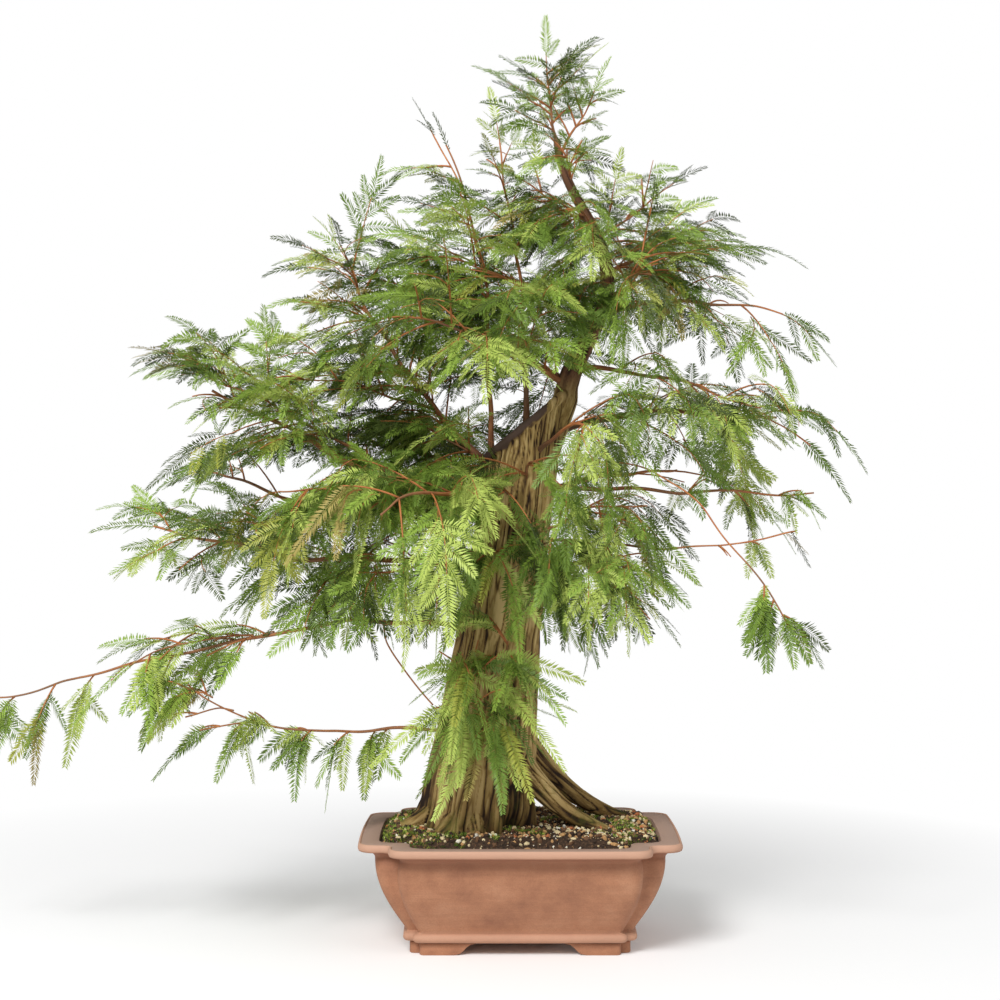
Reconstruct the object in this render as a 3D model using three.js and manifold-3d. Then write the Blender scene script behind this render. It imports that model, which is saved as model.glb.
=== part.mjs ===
// A bald cypress grown as a bonsai, standing in an unglazed clay pot.
// Millimetres, +Z up, +X to the viewer's right, +Y away from the viewer.
// The group's origin is the middle of the whole plant's box, on the surface that the pot's feet stand on.
import * as THREE from "three";
import { mergeVertices } from "three/addons/utils/BufferGeometryUtils.js";
import Module from "manifold-3d";

const wasm = await Module();
wasm.setup();

// Driving dimensions
const fit = 0.3; // gap kept between pieces that touch
const slack = 0.1; // points this near to a face or an edge are left out
const potPlace = { x: 102, y: -51 }; // the pot's centre, from the middle of the whole plant's box
const pot = {
  width: 350, // over the rim, left to right
  depth: 280, // over the rim, front to back
  height: 123,
  feet: 13, // height of the feet
  wall: 10,
  floor: 12,
  rimBand: 7.5, // height of the rim's outer band
  rimFlat: 22, // width of the rim's top
  belt: 10, // height of the moulding round the base
  baseInset: 51, // how far the base stands in from the rim
  bodyInset: 18, // how far the top of the body stands in from the rim
  rimNotch: 34, // size of the recessed corners at the rim
  topNotch: 27,
  baseNotch: 11,
  corner: 0.4, // rounding of the corners, as a share of the notch
};
const foot = {
  thick: 30,
  toe: 49, // length of each arm on the ground, from the corner
  bracket: 24, // length of the curve that each arm ends in
  inset: 3.5, // how far a foot stands in from the base
  sideArm: 0.72, // length of a side arm, as a share of a front one
};
const soil = { atRim: 118, ground: 131, plateau: 0.86 }; // plateau: share of the surface that is level
const trunk = {
  footX: -50, // the trunk's centre at ground level, from the pot's centre
  lean: 0.13, // sideways shift for each millimetre of height
  waist: 37, // radius that the trunk tapers to
  flare: 35, // extra radius at ground level
  flareHeight: 165, // height over which the flare dies away
  top: 620,
  ridgeHeight: 75, // height over which the ridges die away
  hollow: 0.06, // how much the trunk draws in between the ridges
  flutes: 9,
  fluteDepth: 0.035,
  fluteTwist: 90, // height in which the flutes turn by one radian
  sides: 30,
  rings: 15,
};
const chop = { x: -37, z: 543, slope: 39 }; // the slanting cut across the trunk's top
// The new leader: heights and places of its ends, sideways and backward bow, and end radii. Its root runs
// down into the trunk.
const leader = {
  from: 606,
  to: 900,
  x0: 52,
  x1: 42,
  swing: 52,
  back: 6,
  skew: 0.93,
  foot: 14,
  tip: 4.2,
  root: { x: 12, y: 4, z: 520, radius: 24 },
};

// Ridges that run up from the roots: direction in degrees, height and width of the ridge
const buttresses = [
  { turn: 184, height: 0.22, width: 17 },
  { turn: 226, height: 0.16, width: 15 },
  { turn: 262, height: 0.2, width: 14 },
  { turn: 296, height: 0.15, width: 13 },
  { turn: 345, height: 0.1, width: 18 },
  { turn: 38, height: 0.16, width: 17 },
  { turn: 92, height: 0.2, width: 18 },
  { turn: 140, height: 0.18, width: 16 },
];
// Surface roots: direction, reach from the trunk's centre, height where they leave it, and end radii
const roots = [
  { turn: 14, reach: 178, rise: 146, foot: 21, tip: 6.5 },
  { turn: -17, reach: 154, rise: 118, foot: 20, tip: 7.5 },
  { turn: 243, reach: 88, rise: 46, foot: 17, tip: 8 },
  { turn: 272, reach: 80, rise: 60, foot: 17, tip: 9 },
  { turn: 198, reach: 86, rise: 55, foot: 19, tip: 9 },
  { turn: 66, reach: 104, rise: 60, foot: 17, tip: 7 },
  { turn: 118, reach: 98, rise: 56, foot: 17, tip: 7 },
];
// Short sawn stubs: height, direction, length and radius
const stubs = [
  { at: 508, turn: 196, length: 58, radius: 6 },
  { at: 455, turn: 300, length: 54, radius: 5 },
];

// Branches. Each is one smooth route from the trunk or the leader: a bare bough first, then its mass of
// needles.
// at: height of the start. off: start, out from the axis. turn: direction in degrees, 0 right, 90 away.
// reach: run on the level. rise: height gained. arch: bow above the straight line, highest at peak.
// curl: over 1 for a shoot that climbs before it leans out. bare: share of the route that is the bare bough.
// girth: radius at the start. spread: length of the side twigs. close: how closely they sit.
// leaf: size of the sprays.
// hang: 0 for level sprays, 1 for hanging ones. tipHang: the same at the mass's far end, where it differs.
const branches = [
  {
    name: "lower_left_long", at: 318, turn: 186, reach: 566, rise: -44, arch: 52, peak: 0.3,
    bare: 0.45, girth: 5, spread: 58, hang: 0.45, tipHang: 0.9, leaf: 0.62, close: 1.25,
  },
  {
    name: "low_left", at: 230, turn: 188, reach: 328, rise: 62, arch: -34, peak: 0.68,
    bare: 0.27, girth: 4, spread: 30, hang: 0.84, leaf: 0.62, close: 1.15,
  },
  {
    name: "left_low", at: 440, turn: 183, reach: 398, rise: 20, arch: -22,
    bare: 0.24, girth: 7, spread: 84, hang: 0.5, tipHang: 0.05, leaf: 0.86, close: 1.15,
  },
  {
    name: "left_mid", at: 468, turn: 175, reach: 346, rise: 150, arch: -14, peak: 0.36,
    bare: 0.36, girth: 9, spread: 80, hang: 0.25, leaf: 0.92, close: 1.25,
  },
  {
    name: "left_back", at: 510, turn: 157, reach: 396, rise: 18, arch: -34, peak: 0.55,
    bare: 0.36, girth: 8, spread: 74, hang: 0.22, leaf: 0.85,
  },
  {
    name: "upper_left", at: 515, turn: 172, reach: 200, rise: 240, curl: 0.66,
    bare: 0.34, girth: 7, spread: 84, hang: 0.12, leaf: 0.86, close: 1.35,
  },
  {
    name: "spire_left", at: 534, off: 34, turn: 184, reach: 52, rise: 356, curl: 3,
    bare: 0.34, girth: 5, spread: 34, hang: 0.08, leaf: 0.6, close: 1.2,
  },
  {
    name: "spire_mid", at: 575, off: 0, turn: 186, reach: 32, rise: 320, curl: 2,
    bare: 0, girth: 5, spread: 56, hang: 0.08, leaf: 0.55, close: 1.5,
  },
  {
    name: "apex_left", on: "leader", at: 896, turn: 182, reach: 9, rise: 80,
    bare: 0, girth: 3, spread: 34, hang: 0, leaf: 0.5, close: 2.2,
  },
  {
    name: "apex_right", on: "leader", at: 880, turn: -6, reach: 40, rise: 68,
    bare: 0, girth: 3, spread: 32, hang: 0, leaf: 0.4, close: 2,
  },
  {
    name: "apex_low", on: "leader", at: 806, turn: 198, reach: 76, rise: 40,
    bare: 0, girth: 3, spread: 48, hang: 0.05, leaf: 0.6, close: 1.2,
  },
  {
    name: "apex_side", on: "leader", at: 790, turn: 4, reach: 70, rise: 46,
    bare: 0, girth: 3, spread: 46, hang: 0.05, leaf: 0.6, close: 1.2,
  },
  {
    name: "right_top", on: "leader", at: 748, turn: 6, reach: 84, rise: 36, arch: 4,
    bare: 0, girth: 5, spread: 62, hang: 0.12, leaf: 0.72, close: 1.3,
  },
  {
    name: "right_upper", on: "leader", at: 696, turn: -2, reach: 206, rise: 6, arch: 20, peak: 0.4,
    bare: 0.3, girth: 5, spread: 78, hang: 0.3, leaf: 0.76, close: 1.2,
  },
  {
    name: "right_mid", on: "leader", at: 640, turn: -12, reach: 208, rise: -46, arch: 18,
    bare: 0.3, girth: 5, spread: 84, hang: 0.45, leaf: 0.85, close: 1.2,
  },
  {
    name: "right_branch", at: 560, turn: 14, reach: 300, rise: 26, arch: 18,
    bare: 0.32, girth: 8, spread: 86, hang: 0.4, leaf: 0.9, close: 1.2,
  },
  {
    name: "right_long", at: 509, turn: -3, reach: 332, rise: -8,
    bare: 0.5, girth: 5, spread: 44, hang: 0.6, leaf: 0.5,
  },
  {
    name: "right_low", at: 450, turn: -8, reach: 318, rise: 8, arch: -18, peak: 0.65,
    bare: 0.68, girth: 4, spread: 24, hang: 0.75, leaf: 0.45,
  },
  {
    name: "right_trailing", at: 524, turn: -24, reach: 312, rise: -164, arch: 84, peak: 0.55,
    bare: 0.89, girth: 3, spread: 30, hang: 0.8, leaf: 0.62,
  },
  {
    name: "bottom_right", at: 408, turn: -38, reach: 172, rise: 12, arch: 12,
    bare: 0.32, girth: 6, spread: 84, hang: 0.8, tipHang: 0.2, leaf: 0.72, close: 1.4,
  },
  {
    name: "right_front", at: 545, off: 30, turn: -62, reach: 140, rise: 10, arch: 22,
    bare: 0, girth: 5, spread: 74, hang: 0.66, leaf: 0.85,
  },
  {
    name: "front", at: 432, off: 34, turn: -98, reach: 66, rise: 6,
    bare: 0, girth: 3, spread: 52, hang: 0.66, leaf: 0.62, close: 1.6,
  },
  {
    name: "front_low", at: 236, off: 44, turn: -108, reach: 58, rise: 92,
    bare: 0, girth: 3, spread: 60, hang: 0.76, leaf: 0.74, close: 1.8,
  },
  {
    name: "left_under", at: 428, off: 26, turn: 203, reach: 156, rise: -16,
    bare: 0, girth: 4, spread: 66, hang: 0.62, leaf: 0.8, close: 1.2,
  },
  {
    name: "front_left", at: 474, turn: -132, reach: 216, rise: 6, arch: 26,
    bare: 0.34, girth: 6, spread: 92, hang: 0.55, leaf: 0.95,
  },
  {
    name: "front_upper", on: "leader", at: 622, turn: -148, reach: 206, rise: 70, arch: 12,
    bare: 0, girth: 5, spread: 92, hang: 0.3, leaf: 0.9, close: 1.2,
  },
  {
    name: "front_top", on: "leader", at: 706, turn: -58, reach: 104, rise: 58,
    bare: 0, girth: 4, spread: 64, hang: 0.2, leaf: 0.72, close: 1.2,
  },
  {
    name: "back_left", at: 500, turn: 140, reach: 276, rise: 70, arch: 8,
    bare: 0.42, girth: 7, spread: 96, hang: 0.3, leaf: 1,
  },
  {
    name: "back_right", at: 486, turn: 44, reach: 276, rise: 40, arch: 12,
    bare: 0.42, girth: 7, spread: 96, hang: 0.3, leaf: 1,
  },
  {
    name: "back_low", at: 420, turn: 88, reach: 250, rise: 10, arch: 12,
    bare: 0.4, girth: 7, spread: 96, hang: 0.35, leaf: 0.95, close: 1.1,
  },
  {
    name: "back_upper", on: "leader", at: 626, turn: 146, reach: 240, rise: 112, arch: 8,
    bare: 0, girth: 5, spread: 96, hang: 0.2, leaf: 1,
  },
  {
    name: "back_top", on: "leader", at: 704, turn: 52, reach: 166, rise: 84, arch: 6,
    bare: 0, girth: 5, spread: 84, hang: 0.2, leaf: 1,
  },
];
// Side twigs along a mass's stem
const twig = {
  spacing: 54,
  open: 54, // degrees between a twig and the stem
  openVary: 16,
  scatter: 110, // degrees round the stem that the twigs of one side spread over
  turnOn: 47, // degrees from one twig to the next, round a steep stem
  least: 0.78, // length of the shortest twig, as a share of the mean
  vary: 0.44,
  sag: 0.25, // how far a twig leans down with hanging sprays
  radius: 2,
  tip: 1.2,
};
// A spray of needles as a toothed blade: its teeth as shares of the length and of the half width
const spray = {
  length: 134,
  half: 26,
  thick: 3,
  teeth: [
    [0.17, 0.62],
    [0.29, 0.4],
    [0.45, 1],
    [0.55, 0.42],
    [0.76, 0.72],
  ],
  small: 0.8, // a spray under this share of the length has fewer teeth
  fewTeeth: [
    [0.26, 0.9],
    [0.4, 0.42],
    [0.68, 0.8],
  ],
  ribAt: 0.42, // where a blade is thickest, as a share of its length
  endAt: 0.95, // place of the end spray along its twig
  sideAt: [0.34, 0.66], // places of the side sprays
  sideSize: 0.88,
  vary: 0.3,
  attempts: 4,
  turnOn: 40, // degrees that each further attempt turns it by
  swing: 42, // degrees between a spray and its twig
  roll: [28, 78], // degrees that a spray is rolled by, to either hand
  root: 12, // length at the root that may lie against the mass's other pieces
};
// A mass's room past its twigs, and how far it may lean into another's
const space = { margin: 40, share: 0.7 };

const colours = {
  clay: { color: 0xa36c50, roughness: 0.72 },
  earth: { color: 0x33241a, roughness: 0.95 },
  bark: { color: 0x6f5a44, roughness: 0.9 },
  shoot: { color: 0x7c4f34, roughness: 0.8 },
  needle: { color: 0x5f8f2c, roughness: 0.65 },
};

// Small helpers
const up = new THREE.Vector3(0, 0, 1);
const degrees = Math.PI / 180;
const mix = (a, b, t) => a + (b - a) * t;
const heading = (turn) => new THREE.Vector3(Math.cos(turn * degrees), Math.sin(turn * degrees), 0);

// A repeatable stream of numbers from 0 to 1
function seeded(seed) {
  let a = seed >>> 0;
  return () => {
    a = (a + 0x6d2b79f5) >>> 0;
    let t = a;
    t = Math.imul(t ^ (t >>> 15), t | 1);
    t ^= t + Math.imul(t ^ (t >>> 7), t | 61);
    return ((t ^ (t >>> 14)) >>> 0) / 4294967296;
  };
}

function solidOf(geometry) {
  const bare = geometry.index ? geometry.toNonIndexed() : geometry.clone();
  bare.deleteAttribute("normal");
  bare.deleteAttribute("uv");
  const merged = mergeVertices(bare, 1e-4);
  return new wasm.Manifold(
    new wasm.Mesh({
      numProp: 3,
      vertProperties: new Float32Array(merged.attributes.position.array),
      triVerts: new Uint32Array(merged.index.array),
    }),
  );
}

function geometryOf(solid) {
  const mesh = solid.getMesh();
  const points = new Float32Array(mesh.numVert * 3);
  for (let i = 0; i < mesh.numVert; i++) {
    points.set(mesh.vertProperties.subarray(i * mesh.numProp, i * mesh.numProp + 3), i * 3);
  }
  const geometry = new THREE.BufferGeometry();
  geometry.setAttribute("position", new THREE.BufferAttribute(points, 3));
  geometry.setIndex(new THREE.BufferAttribute(new Uint32Array(mesh.triVerts), 1));
  geometry.computeVertexNormals();
  return geometry;
}

// The largest body of a solid, without loose scraps and sealed pockets
function largestBody(solid) {
  const bodies = solid.decompose();
  return bodies.reduce((best, body) => (body.volume() > best.volume() ? body : best));
}

// The same without needless points
const tidied = (solid) => largestBody(largestBody(solid).asOriginal().simplify(slack));

// Closed skin through rings of equal length, each ring anticlockwise as seen from the end of the row
function loft(rings) {
  const count = rings[0].length;
  const points = [];
  const faces = [];
  rings.forEach((ring) => ring.forEach((p) => points.push(p.x, p.y, p.z)));
  for (let r = 0; r + 1 < rings.length; r++) {
    for (let i = 0; i < count; i++) {
      const a = r * count + i;
      const b = r * count + ((i + 1) % count);
      faces.push(a, b, a + count, b, b + count, a + count);
    }
  }
  [0, rings.length - 1].forEach((r) => {
    if (count < 10) {
      for (let i = 1; i + 1 < count; i++) {
        const [a, b] = [r * count + i, r * count + i + 1];
        faces.push(...(r === 0 ? [0, b, a] : [r * count, a, b]));
      }
      return;
    }
    const middle = rings[r].reduce((sum, p) => sum.add(p), new THREE.Vector3()).divideScalar(count);
    const centre = points.length / 3;
    points.push(middle.x, middle.y, middle.z);
    for (let i = 0; i < count; i++) {
      const a = r * count + i;
      const b = r * count + ((i + 1) % count);
      faces.push(...(r === 0 ? [centre, b, a] : [centre, a, b]));
    }
  });
  const geometry = new THREE.BufferGeometry();
  geometry.setAttribute("position", new THREE.Float32BufferAttribute(points, 3));
  geometry.setIndex(faces);
  return geometry;
}

function directionAt(route, t) {
  return route(t + 0.01).sub(route(t - 0.01)).normalize();
}

// Tapering limb of round section along route(t), with radius(t), between two values of t
function limb(route, radius, from, to, steps, sides) {
  let side = null;
  const rings = Array.from({ length: steps + 1 }, (_, i) => {
    const t = mix(from, to, i / steps);
    const middle = route(t);
    const ahead = directionAt(route, t);
    if (!side) side = Math.abs(ahead.z) > 0.9 ? new THREE.Vector3(1, 0, 0) : up.clone();
    side = side.clone().addScaledVector(ahead, -side.dot(ahead)).normalize();
    const other = new THREE.Vector3().crossVectors(ahead, side);
    return Array.from({ length: sides }, (_, k) => {
      const angle = (k / sides) * 2 * Math.PI;
      const size = radius(t);
      return middle
        .clone()
        .addScaledVector(side, size * Math.cos(angle))
        .addScaledVector(other, size * Math.sin(angle));
    });
  });
  return loft(rings);
}

function box(x0, x1, y0, y1, z0, z1) {
  const geometry = new THREE.BoxGeometry(x1 - x0, y1 - y0, z1 - z0);
  return geometry.translate((x0 + x1) / 2, (y0 + y1) / 2, (z0 + z1) / 2);
}

// Pot: an oblong plan with recessed corners, its sides swelling out from a moulded base to a flat rim
function plan(inset, notch, z) {
  const x = pot.width / 2 - inset;
  const y = pot.depth / 2 - inset;
  const round = notch * pot.corner;
  const quarter = [
    [x, y - notch - round],
    [x - round * 0.3, y - notch - round * 0.3],
    [x - round, y - notch],
    [x - notch, y - notch],
    [x - notch, y - round],
    [x - notch - round * 0.3, y - round * 0.3],
    [x - notch - round, y],
  ];
  const mirrored = [...quarter].reverse();
  return [
    ...quarter,
    ...mirrored.map(([a, b]) => [-a, b]),
    ...quarter.map(([a, b]) => [-a, -b]),
    ...mirrored.map(([a, b]) => [a, -b]),
  ].map(([a, b]) => new THREE.Vector3(a, b, z));
}

function bodyInset(z) {
  const low = pot.feet + pot.belt + 5;
  const high = pot.height - pot.rimBand - 11;
  const share = THREE.MathUtils.clamp((z - low) / (high - low), 0, 1);
  return mix(pot.baseInset, pot.bodyInset, Math.sin((share * Math.PI) / 2));
}

function notchAt(z) {
  return mix(pot.baseNotch, pot.topNotch, THREE.MathUtils.clamp((z - pot.feet) / 95, 0, 1));
}

function potSolid() {
  const base = pot.feet;
  const rimUnder = pot.height - pot.rimBand;
  const rings = [
    plan(pot.baseInset + 3, pot.baseNotch, base),
    plan(pot.baseInset - 1, pot.baseNotch, base + 3),
    plan(pot.baseInset - 3, pot.baseNotch, base + pot.belt / 2 + 1),
    plan(pot.baseInset - 1, pot.baseNotch, base + pot.belt + 2),
  ];
  for (let i = 0; i <= 5; i++) {
    const z = mix(base + pot.belt + 5, rimUnder - 11, i / 5);
    rings.push(plan(bodyInset(z), notchAt(z), z));
  }
  rings.push(
    plan(pot.bodyInset - 6, pot.topNotch + 2, rimUnder - 3),
    plan(2, pot.rimNotch - 1, rimUnder),
    plan(0, pot.rimNotch, rimUnder + 1.5),
    plan(0, pot.rimNotch, pot.height - 1),
    plan(1, pot.rimNotch, pot.height),
    plan(pot.rimFlat - 1, pot.rimNotch, pot.height - 0.5),
    plan(pot.rimFlat, pot.rimNotch, pot.height - 3),
  );
  [...hollowLevels].reverse().forEach((z) => rings.push(hollow(z, 0)));
  return solidOf(loft(rings));
}

// One level of the hollow inside the pot, taken in by gap; it widens to the rim above its last level
const hollowLevels = [0, 1 / 3, 2 / 3, 1].map((share) => mix(pot.feet + pot.floor, pot.height - 22, share));

function hollow(z, gap) {
  const last = hollowLevels[3];
  const share = Math.max(0, (z - last) / (pot.height - 3 - last));
  const wall = Math.min(z, last);
  const inset = mix(bodyInset(wall) + pot.wall, pot.rimFlat, share);
  return plan(inset + gap, mix(notchAt(wall), pot.rimNotch, share), z);
}

// Foot: a bracket under each recessed corner, with an ogee at the end of each arm
function footProfile(outer, toe, bracket, top) {
  const shape = new THREE.Shape();
  shape.moveTo(outer, 0);
  shape.lineTo(outer - toe, 0);
  const heel = outer - toe - bracket;
  shape.bezierCurveTo(heel + bracket * 0.5, 0, heel + bracket * 0.55, top, heel, top);
  shape.lineTo(outer, top);
  shape.closePath();
  return shape;
}

function footSolid(right, back) {
  const top = pot.feet - fit;
  const inset = pot.baseInset + foot.inset;
  const x = pot.width / 2 - inset;
  const y = pot.depth / 2 - inset;
  const long = 2 * pot.width;
  const settings = { depth: long, bevelEnabled: false, curveSegments: 5 };
  const across = new THREE.ExtrudeGeometry(footProfile(x, foot.toe, foot.bracket, top), settings)
    .rotateX(Math.PI / 2)
    .translate(0, long / 2, 0);
  const sideProfile = footProfile(y, foot.toe * foot.sideArm, foot.bracket * foot.sideArm, top);
  const along = new THREE.ExtrudeGeometry(sideProfile, settings)
    .rotateX(Math.PI / 2)
    .rotateZ(Math.PI / 2)
    .translate(long / 2, 0, 0);
  const outline = solidOf(loft([plan(inset, pot.baseNotch, 0), plan(inset, pot.baseNotch, top)]));
  const front = solidOf(across).intersect(solidOf(box(0, x, y - foot.thick, y, 0, top)));
  const side = solidOf(along).intersect(solidOf(box(x - foot.thick, x, 0, y, 0, top)));
  const corner = front.add(side).intersect(outline);
  return corner.scale([right ? 1 : -1, back ? 1 : -1, 1]);
}

// Soil: fills the pot, and rises from the rim to the level ground that the trunk stands on
function soilSolid() {
  const rings = hollowLevels.map((z, i) => hollow(i ? z : z + fit, 2 * fit));
  const edge = hollow(soil.atRim, 2 * fit);
  for (let i = 0; i <= 3; i++) {
    const size = mix(1, soil.plateau, i / 3);
    const height = mix(soil.atRim, soil.ground, Math.sin((i / 3) * (Math.PI / 2)));
    rings.push(edge.map((p) => new THREE.Vector3(p.x * size, p.y * size, height)));
  }
  return solidOf(loft(rings));
}

// Trunk
const trunkAxis = (z) => new THREE.Vector3(trunk.footX + trunk.lean * (z - soil.ground), 0, z);

function trunkRadius(angle, z) {
  const height = z - soil.ground;
  const round = trunk.waist + trunk.flare * Math.exp(-height / trunk.flareHeight);
  const ridges = buttresses.reduce((sum, ridge) => {
    let apart = (angle / degrees - ridge.turn) % 360;
    if (apart > 180) apart -= 360;
    if (apart < -180) apart += 360;
    return sum + ridge.height * Math.exp(-((apart / ridge.width) ** 2));
  }, 0);
  const low = Math.exp(-height / trunk.ridgeHeight);
  const flutes = trunk.fluteDepth * Math.cos(trunk.flutes * angle + height / trunk.fluteTwist);
  return round * (1 + (ridges - trunk.hollow) * low + flutes);
}

// t runs from 0 at the leader's foot to 1 at its fork, and from 0 to -1 down its root
function leaderRoute(t) {
  const { root } = leader;
  if (t < 0) return new THREE.Vector3(mix(leader.x0, root.x, -t), -root.y * t, mix(leader.from, root.z, -t));
  const bow = Math.sin(Math.PI * t ** leader.skew) ** 2;
  const x = mix(leader.x0, leader.x1, t) + leader.swing * bow;
  return new THREE.Vector3(x, leader.back * bow, mix(leader.from, leader.to, t));
}

function leaderRadius(t) {
  if (t < 0) return mix(leader.foot, leader.root.radius, -t);
  return mix(leader.foot, leader.tip, t ** 0.7);
}

function rootRoute(root) {
  const middle = trunkAxis(soil.ground);
  const out = heading(root.turn);
  const start = middle.clone().addScaledVector(out, 22).setZ(soil.ground + root.rise);
  const knee = middle.clone().addScaledVector(out, root.reach * 0.5).setZ(soil.ground + root.rise * 0.12);
  const end = middle.clone().addScaledVector(out, root.reach).setZ(soil.ground - root.tip * 0.5);
  const curve = new THREE.QuadraticBezierCurve3(start, knee, end);
  return (t) => curve.getPoint(t);
}

function trunkSolid(swell) {
  const rings = [];
  for (let i = 0; i <= trunk.rings; i++) {
    const z = mix(soil.ground + fit - swell, trunk.top, (i / trunk.rings) ** 1.25);
    const middle = trunkAxis(z);
    rings.push(
      Array.from({ length: trunk.sides }, (_, k) => {
        const angle = (k / trunk.sides) * 2 * Math.PI;
        const out = trunkRadius(angle, z) + swell;
        return new THREE.Vector3(middle.x + out * Math.cos(angle), middle.y + out * Math.sin(angle), z);
      }),
    );
  }
  const above = box(-300, 300, -300, 300, swell, 600)
    .rotateY(-chop.slope * degrees)
    .translate(chop.x, 0, chop.z);
  let solid = solidOf(loft(rings)).subtract(solidOf(above));
  const head = limb(leaderRoute, (t) => leaderRadius(t) + swell, -1, 1 + swell / 300, 18, 9);
  solid = solid.add(solidOf(head));
  roots.forEach((root) => {
    const size = (t) => mix(root.foot, root.tip, t ** 0.7) + swell;
    solid = solid.add(solidOf(limb(rootRoute(root), size, 0, 1, 6, 8)));
  });
  stubs.forEach((stub) => {
    const start = trunkAxis(stub.at);
    const out = heading(stub.turn).multiplyScalar(stub.length + swell).setZ(6);
    const route = (t) => start.clone().addScaledVector(out, t);
    solid = solid.add(solidOf(limb(route, () => stub.radius + swell, 0, 1, 1, 7)));
  });
  const ground = soil.ground + (swell ? -60 : fit);
  return largestBody(solid.intersect(solidOf(box(-400, 400, -400, 400, ground, 1200))));
}

// Branches
function startOf(branch) {
  const share = (branch.at - leader.from) / (leader.to - leader.from);
  const start = branch.on === "leader" ? leaderRoute(share) : trunkAxis(branch.at);
  return start.addScaledVector(heading(branch.turn), branch.off || 0);
}

function routeOf(branch) {
  const start = startOf(branch);
  const out = heading(branch.turn);
  const skew = Math.log(0.5) / Math.log(branch.peak || 0.5);
  return (t) => {
    const bow = (branch.arch || 0) * Math.sin(Math.PI * Math.min(1, Math.max(0, t)) ** skew);
    const level = branch.reach * Math.sign(t) * Math.abs(t) ** (branch.curl || 1);
    return start.clone().addScaledVector(out, level).add(new THREE.Vector3(0, 0, branch.rise * t + bow));
  };
}

const girthOf = (branch) => (t) => branch.girth * (1 - 0.72 * t ** 0.8);

// Upper side and left side of a line that runs ahead; a steep line has its upper side to the right
function sidesOf(ahead) {
  const flat = Math.abs(ahead.z) > 0.8 ? new THREE.Vector3(1, 0, 0) : up;
  const above = flat.clone().addScaledVector(ahead, -flat.dot(ahead)).normalize();
  return { above, across: new THREE.Vector3().crossVectors(above, ahead) };
}

// The side twigs of a mass: left and right by turns, round all sides of a steep stem
function sideTwigs(branch, seed) {
  const random = seeded(seed);
  const route = routeOf(branch);
  const run = route(1).distanceTo(route(branch.bare));
  const count = Math.max(3, Math.round((run / twig.spacing) * (branch.close || 1)));
  return Array.from({ length: count }, (_, k) => {
    const share = (k + 0.5) / (count + 0.3);
    const t = mix(branch.bare, 1, share);
    const ahead = directionAt(route, t);
    const { above, across } = sidesOf(ahead);
    const steep = Math.abs(ahead.z) > 0.6 ? k * twig.turnOn : 0;
    const round = ((k % 2 ? 90 : -90) + (random() - 0.5) * twig.scatter + steep) * degrees;
    const out = above.multiplyScalar(Math.cos(round)).addScaledVector(across, Math.sin(round));
    const open = (twig.open + (random() - 0.5) * twig.openVary) * degrees;
    const direction = ahead.clone().multiplyScalar(Math.cos(open)).addScaledVector(out, Math.sin(open));
    const swell = 0.3 + 0.7 * Math.sin(Math.PI * (0.2 + 0.72 * share));
    const length = branch.spread * swell * (twig.least + twig.vary * random());
    direction.z -= hangAt(branch, share) * twig.sag;
    return { share, start: route(t), direction: direction.normalize(), length };
  });
}

const hangAt = (branch, share) => mix(branch.hang, branch.tipHang ?? branch.hang, share);
const alongTwig = (side) => (u) => side.start.clone().addScaledVector(side.direction, side.length * u);

// Where the sprays of a mass sit: one at each end, the others left and right along the side twigs
function spraysOf(branch, sides, seed) {
  const random = seeded(seed);
  const found = [];
  const place = (share, start, ahead, swing, whole) => {
    const size = whole * (branch.leaf || 1) * (0.95 - 0.15 * share) * (0.88 + spray.vary * random());
    const hang = hangAt(branch, share) * (0.75 + 0.35 * random());
    const roll = mix(...spray.roll, random()) * (random() < 0.5 ? -1 : 1);
    found.push({ start, ahead, swing, size, hang, roll });
  };
  const route = routeOf(branch);
  place(1, route(0.985), directionAt(route, 0.985), 0, 1);
  sides.forEach((side, k) => {
    const line = alongTwig(side);
    place(side.share, line(spray.endAt), side.direction, 0, 1);
    spray.sideAt.forEach((at, i) => {
      place(side.share, line(at), side.direction, (i + k) % 2 ? 1 : -1, spray.sideSize);
    });
  });
  return found;
}

// A spray of needles as one toothed blade, thickest along its rib. Each attempt turns it another way.
function blade(item, attempt, grow) {
  const { above, across } = sidesOf(item.ahead);
  const angle = (item.swing + 0.5 * attempt * (item.swing || 1)) * spray.swing * degrees;
  const out = item.ahead.clone().multiplyScalar(Math.cos(angle)).addScaledVector(across, Math.sin(angle));
  const along = out.multiplyScalar(1 - item.hang).addScaledVector(up, -item.hang).normalize();
  const face = above.addScaledVector(along, -above.dot(along));
  if (face.length() < 0.2) face.copy(across);
  face.addScaledVector(along, -face.dot(along)).normalize();
  face.applyAxisAngle(along, (item.roll + spray.turnOn * attempt) * degrees);
  const long = spray.length * item.size + grow;
  const half = spray.half * item.size + grow;
  const thick = spray.thick / 2 + grow;
  const sideways = new THREE.Vector3().crossVectors(face, along);
  const at = (x, y, z) => {
    const onRib = item.start.clone().addScaledVector(along, x * long);
    return onRib.addScaledVector(sideways, y * half).addScaledVector(face, z);
  };
  const teeth = item.size < spray.small ? spray.fewTeeth : spray.teeth;
  const corners = [
    at(0, 0, 0),
    ...teeth.map(([x, y]) => at(x, y, 0)),
    at(1, 0, 0),
    ...teeth.map(([x, y]) => at(x, -y, 0)).reverse(),
  ];
  const count = corners.length;
  corners.push(at(spray.ribAt, 0, thick), at(spray.ribAt, 0, -thick));
  const faces = [];
  for (let i = 0; i < count; i++) {
    const next = (i + 1) % count;
    faces.push(count, next, i, count + 1, i, next);
  }
  const geometry = new THREE.BufferGeometry();
  const points = corners.flatMap((p) => [p.x, p.y, p.z]);
  geometry.setAttribute("position", new THREE.Float32BufferAttribute(points, 3));
  geometry.setIndex(faces);
  return { solid: solidOf(geometry), middle: at(spray.ribAt, 0, 0) };
}

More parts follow.
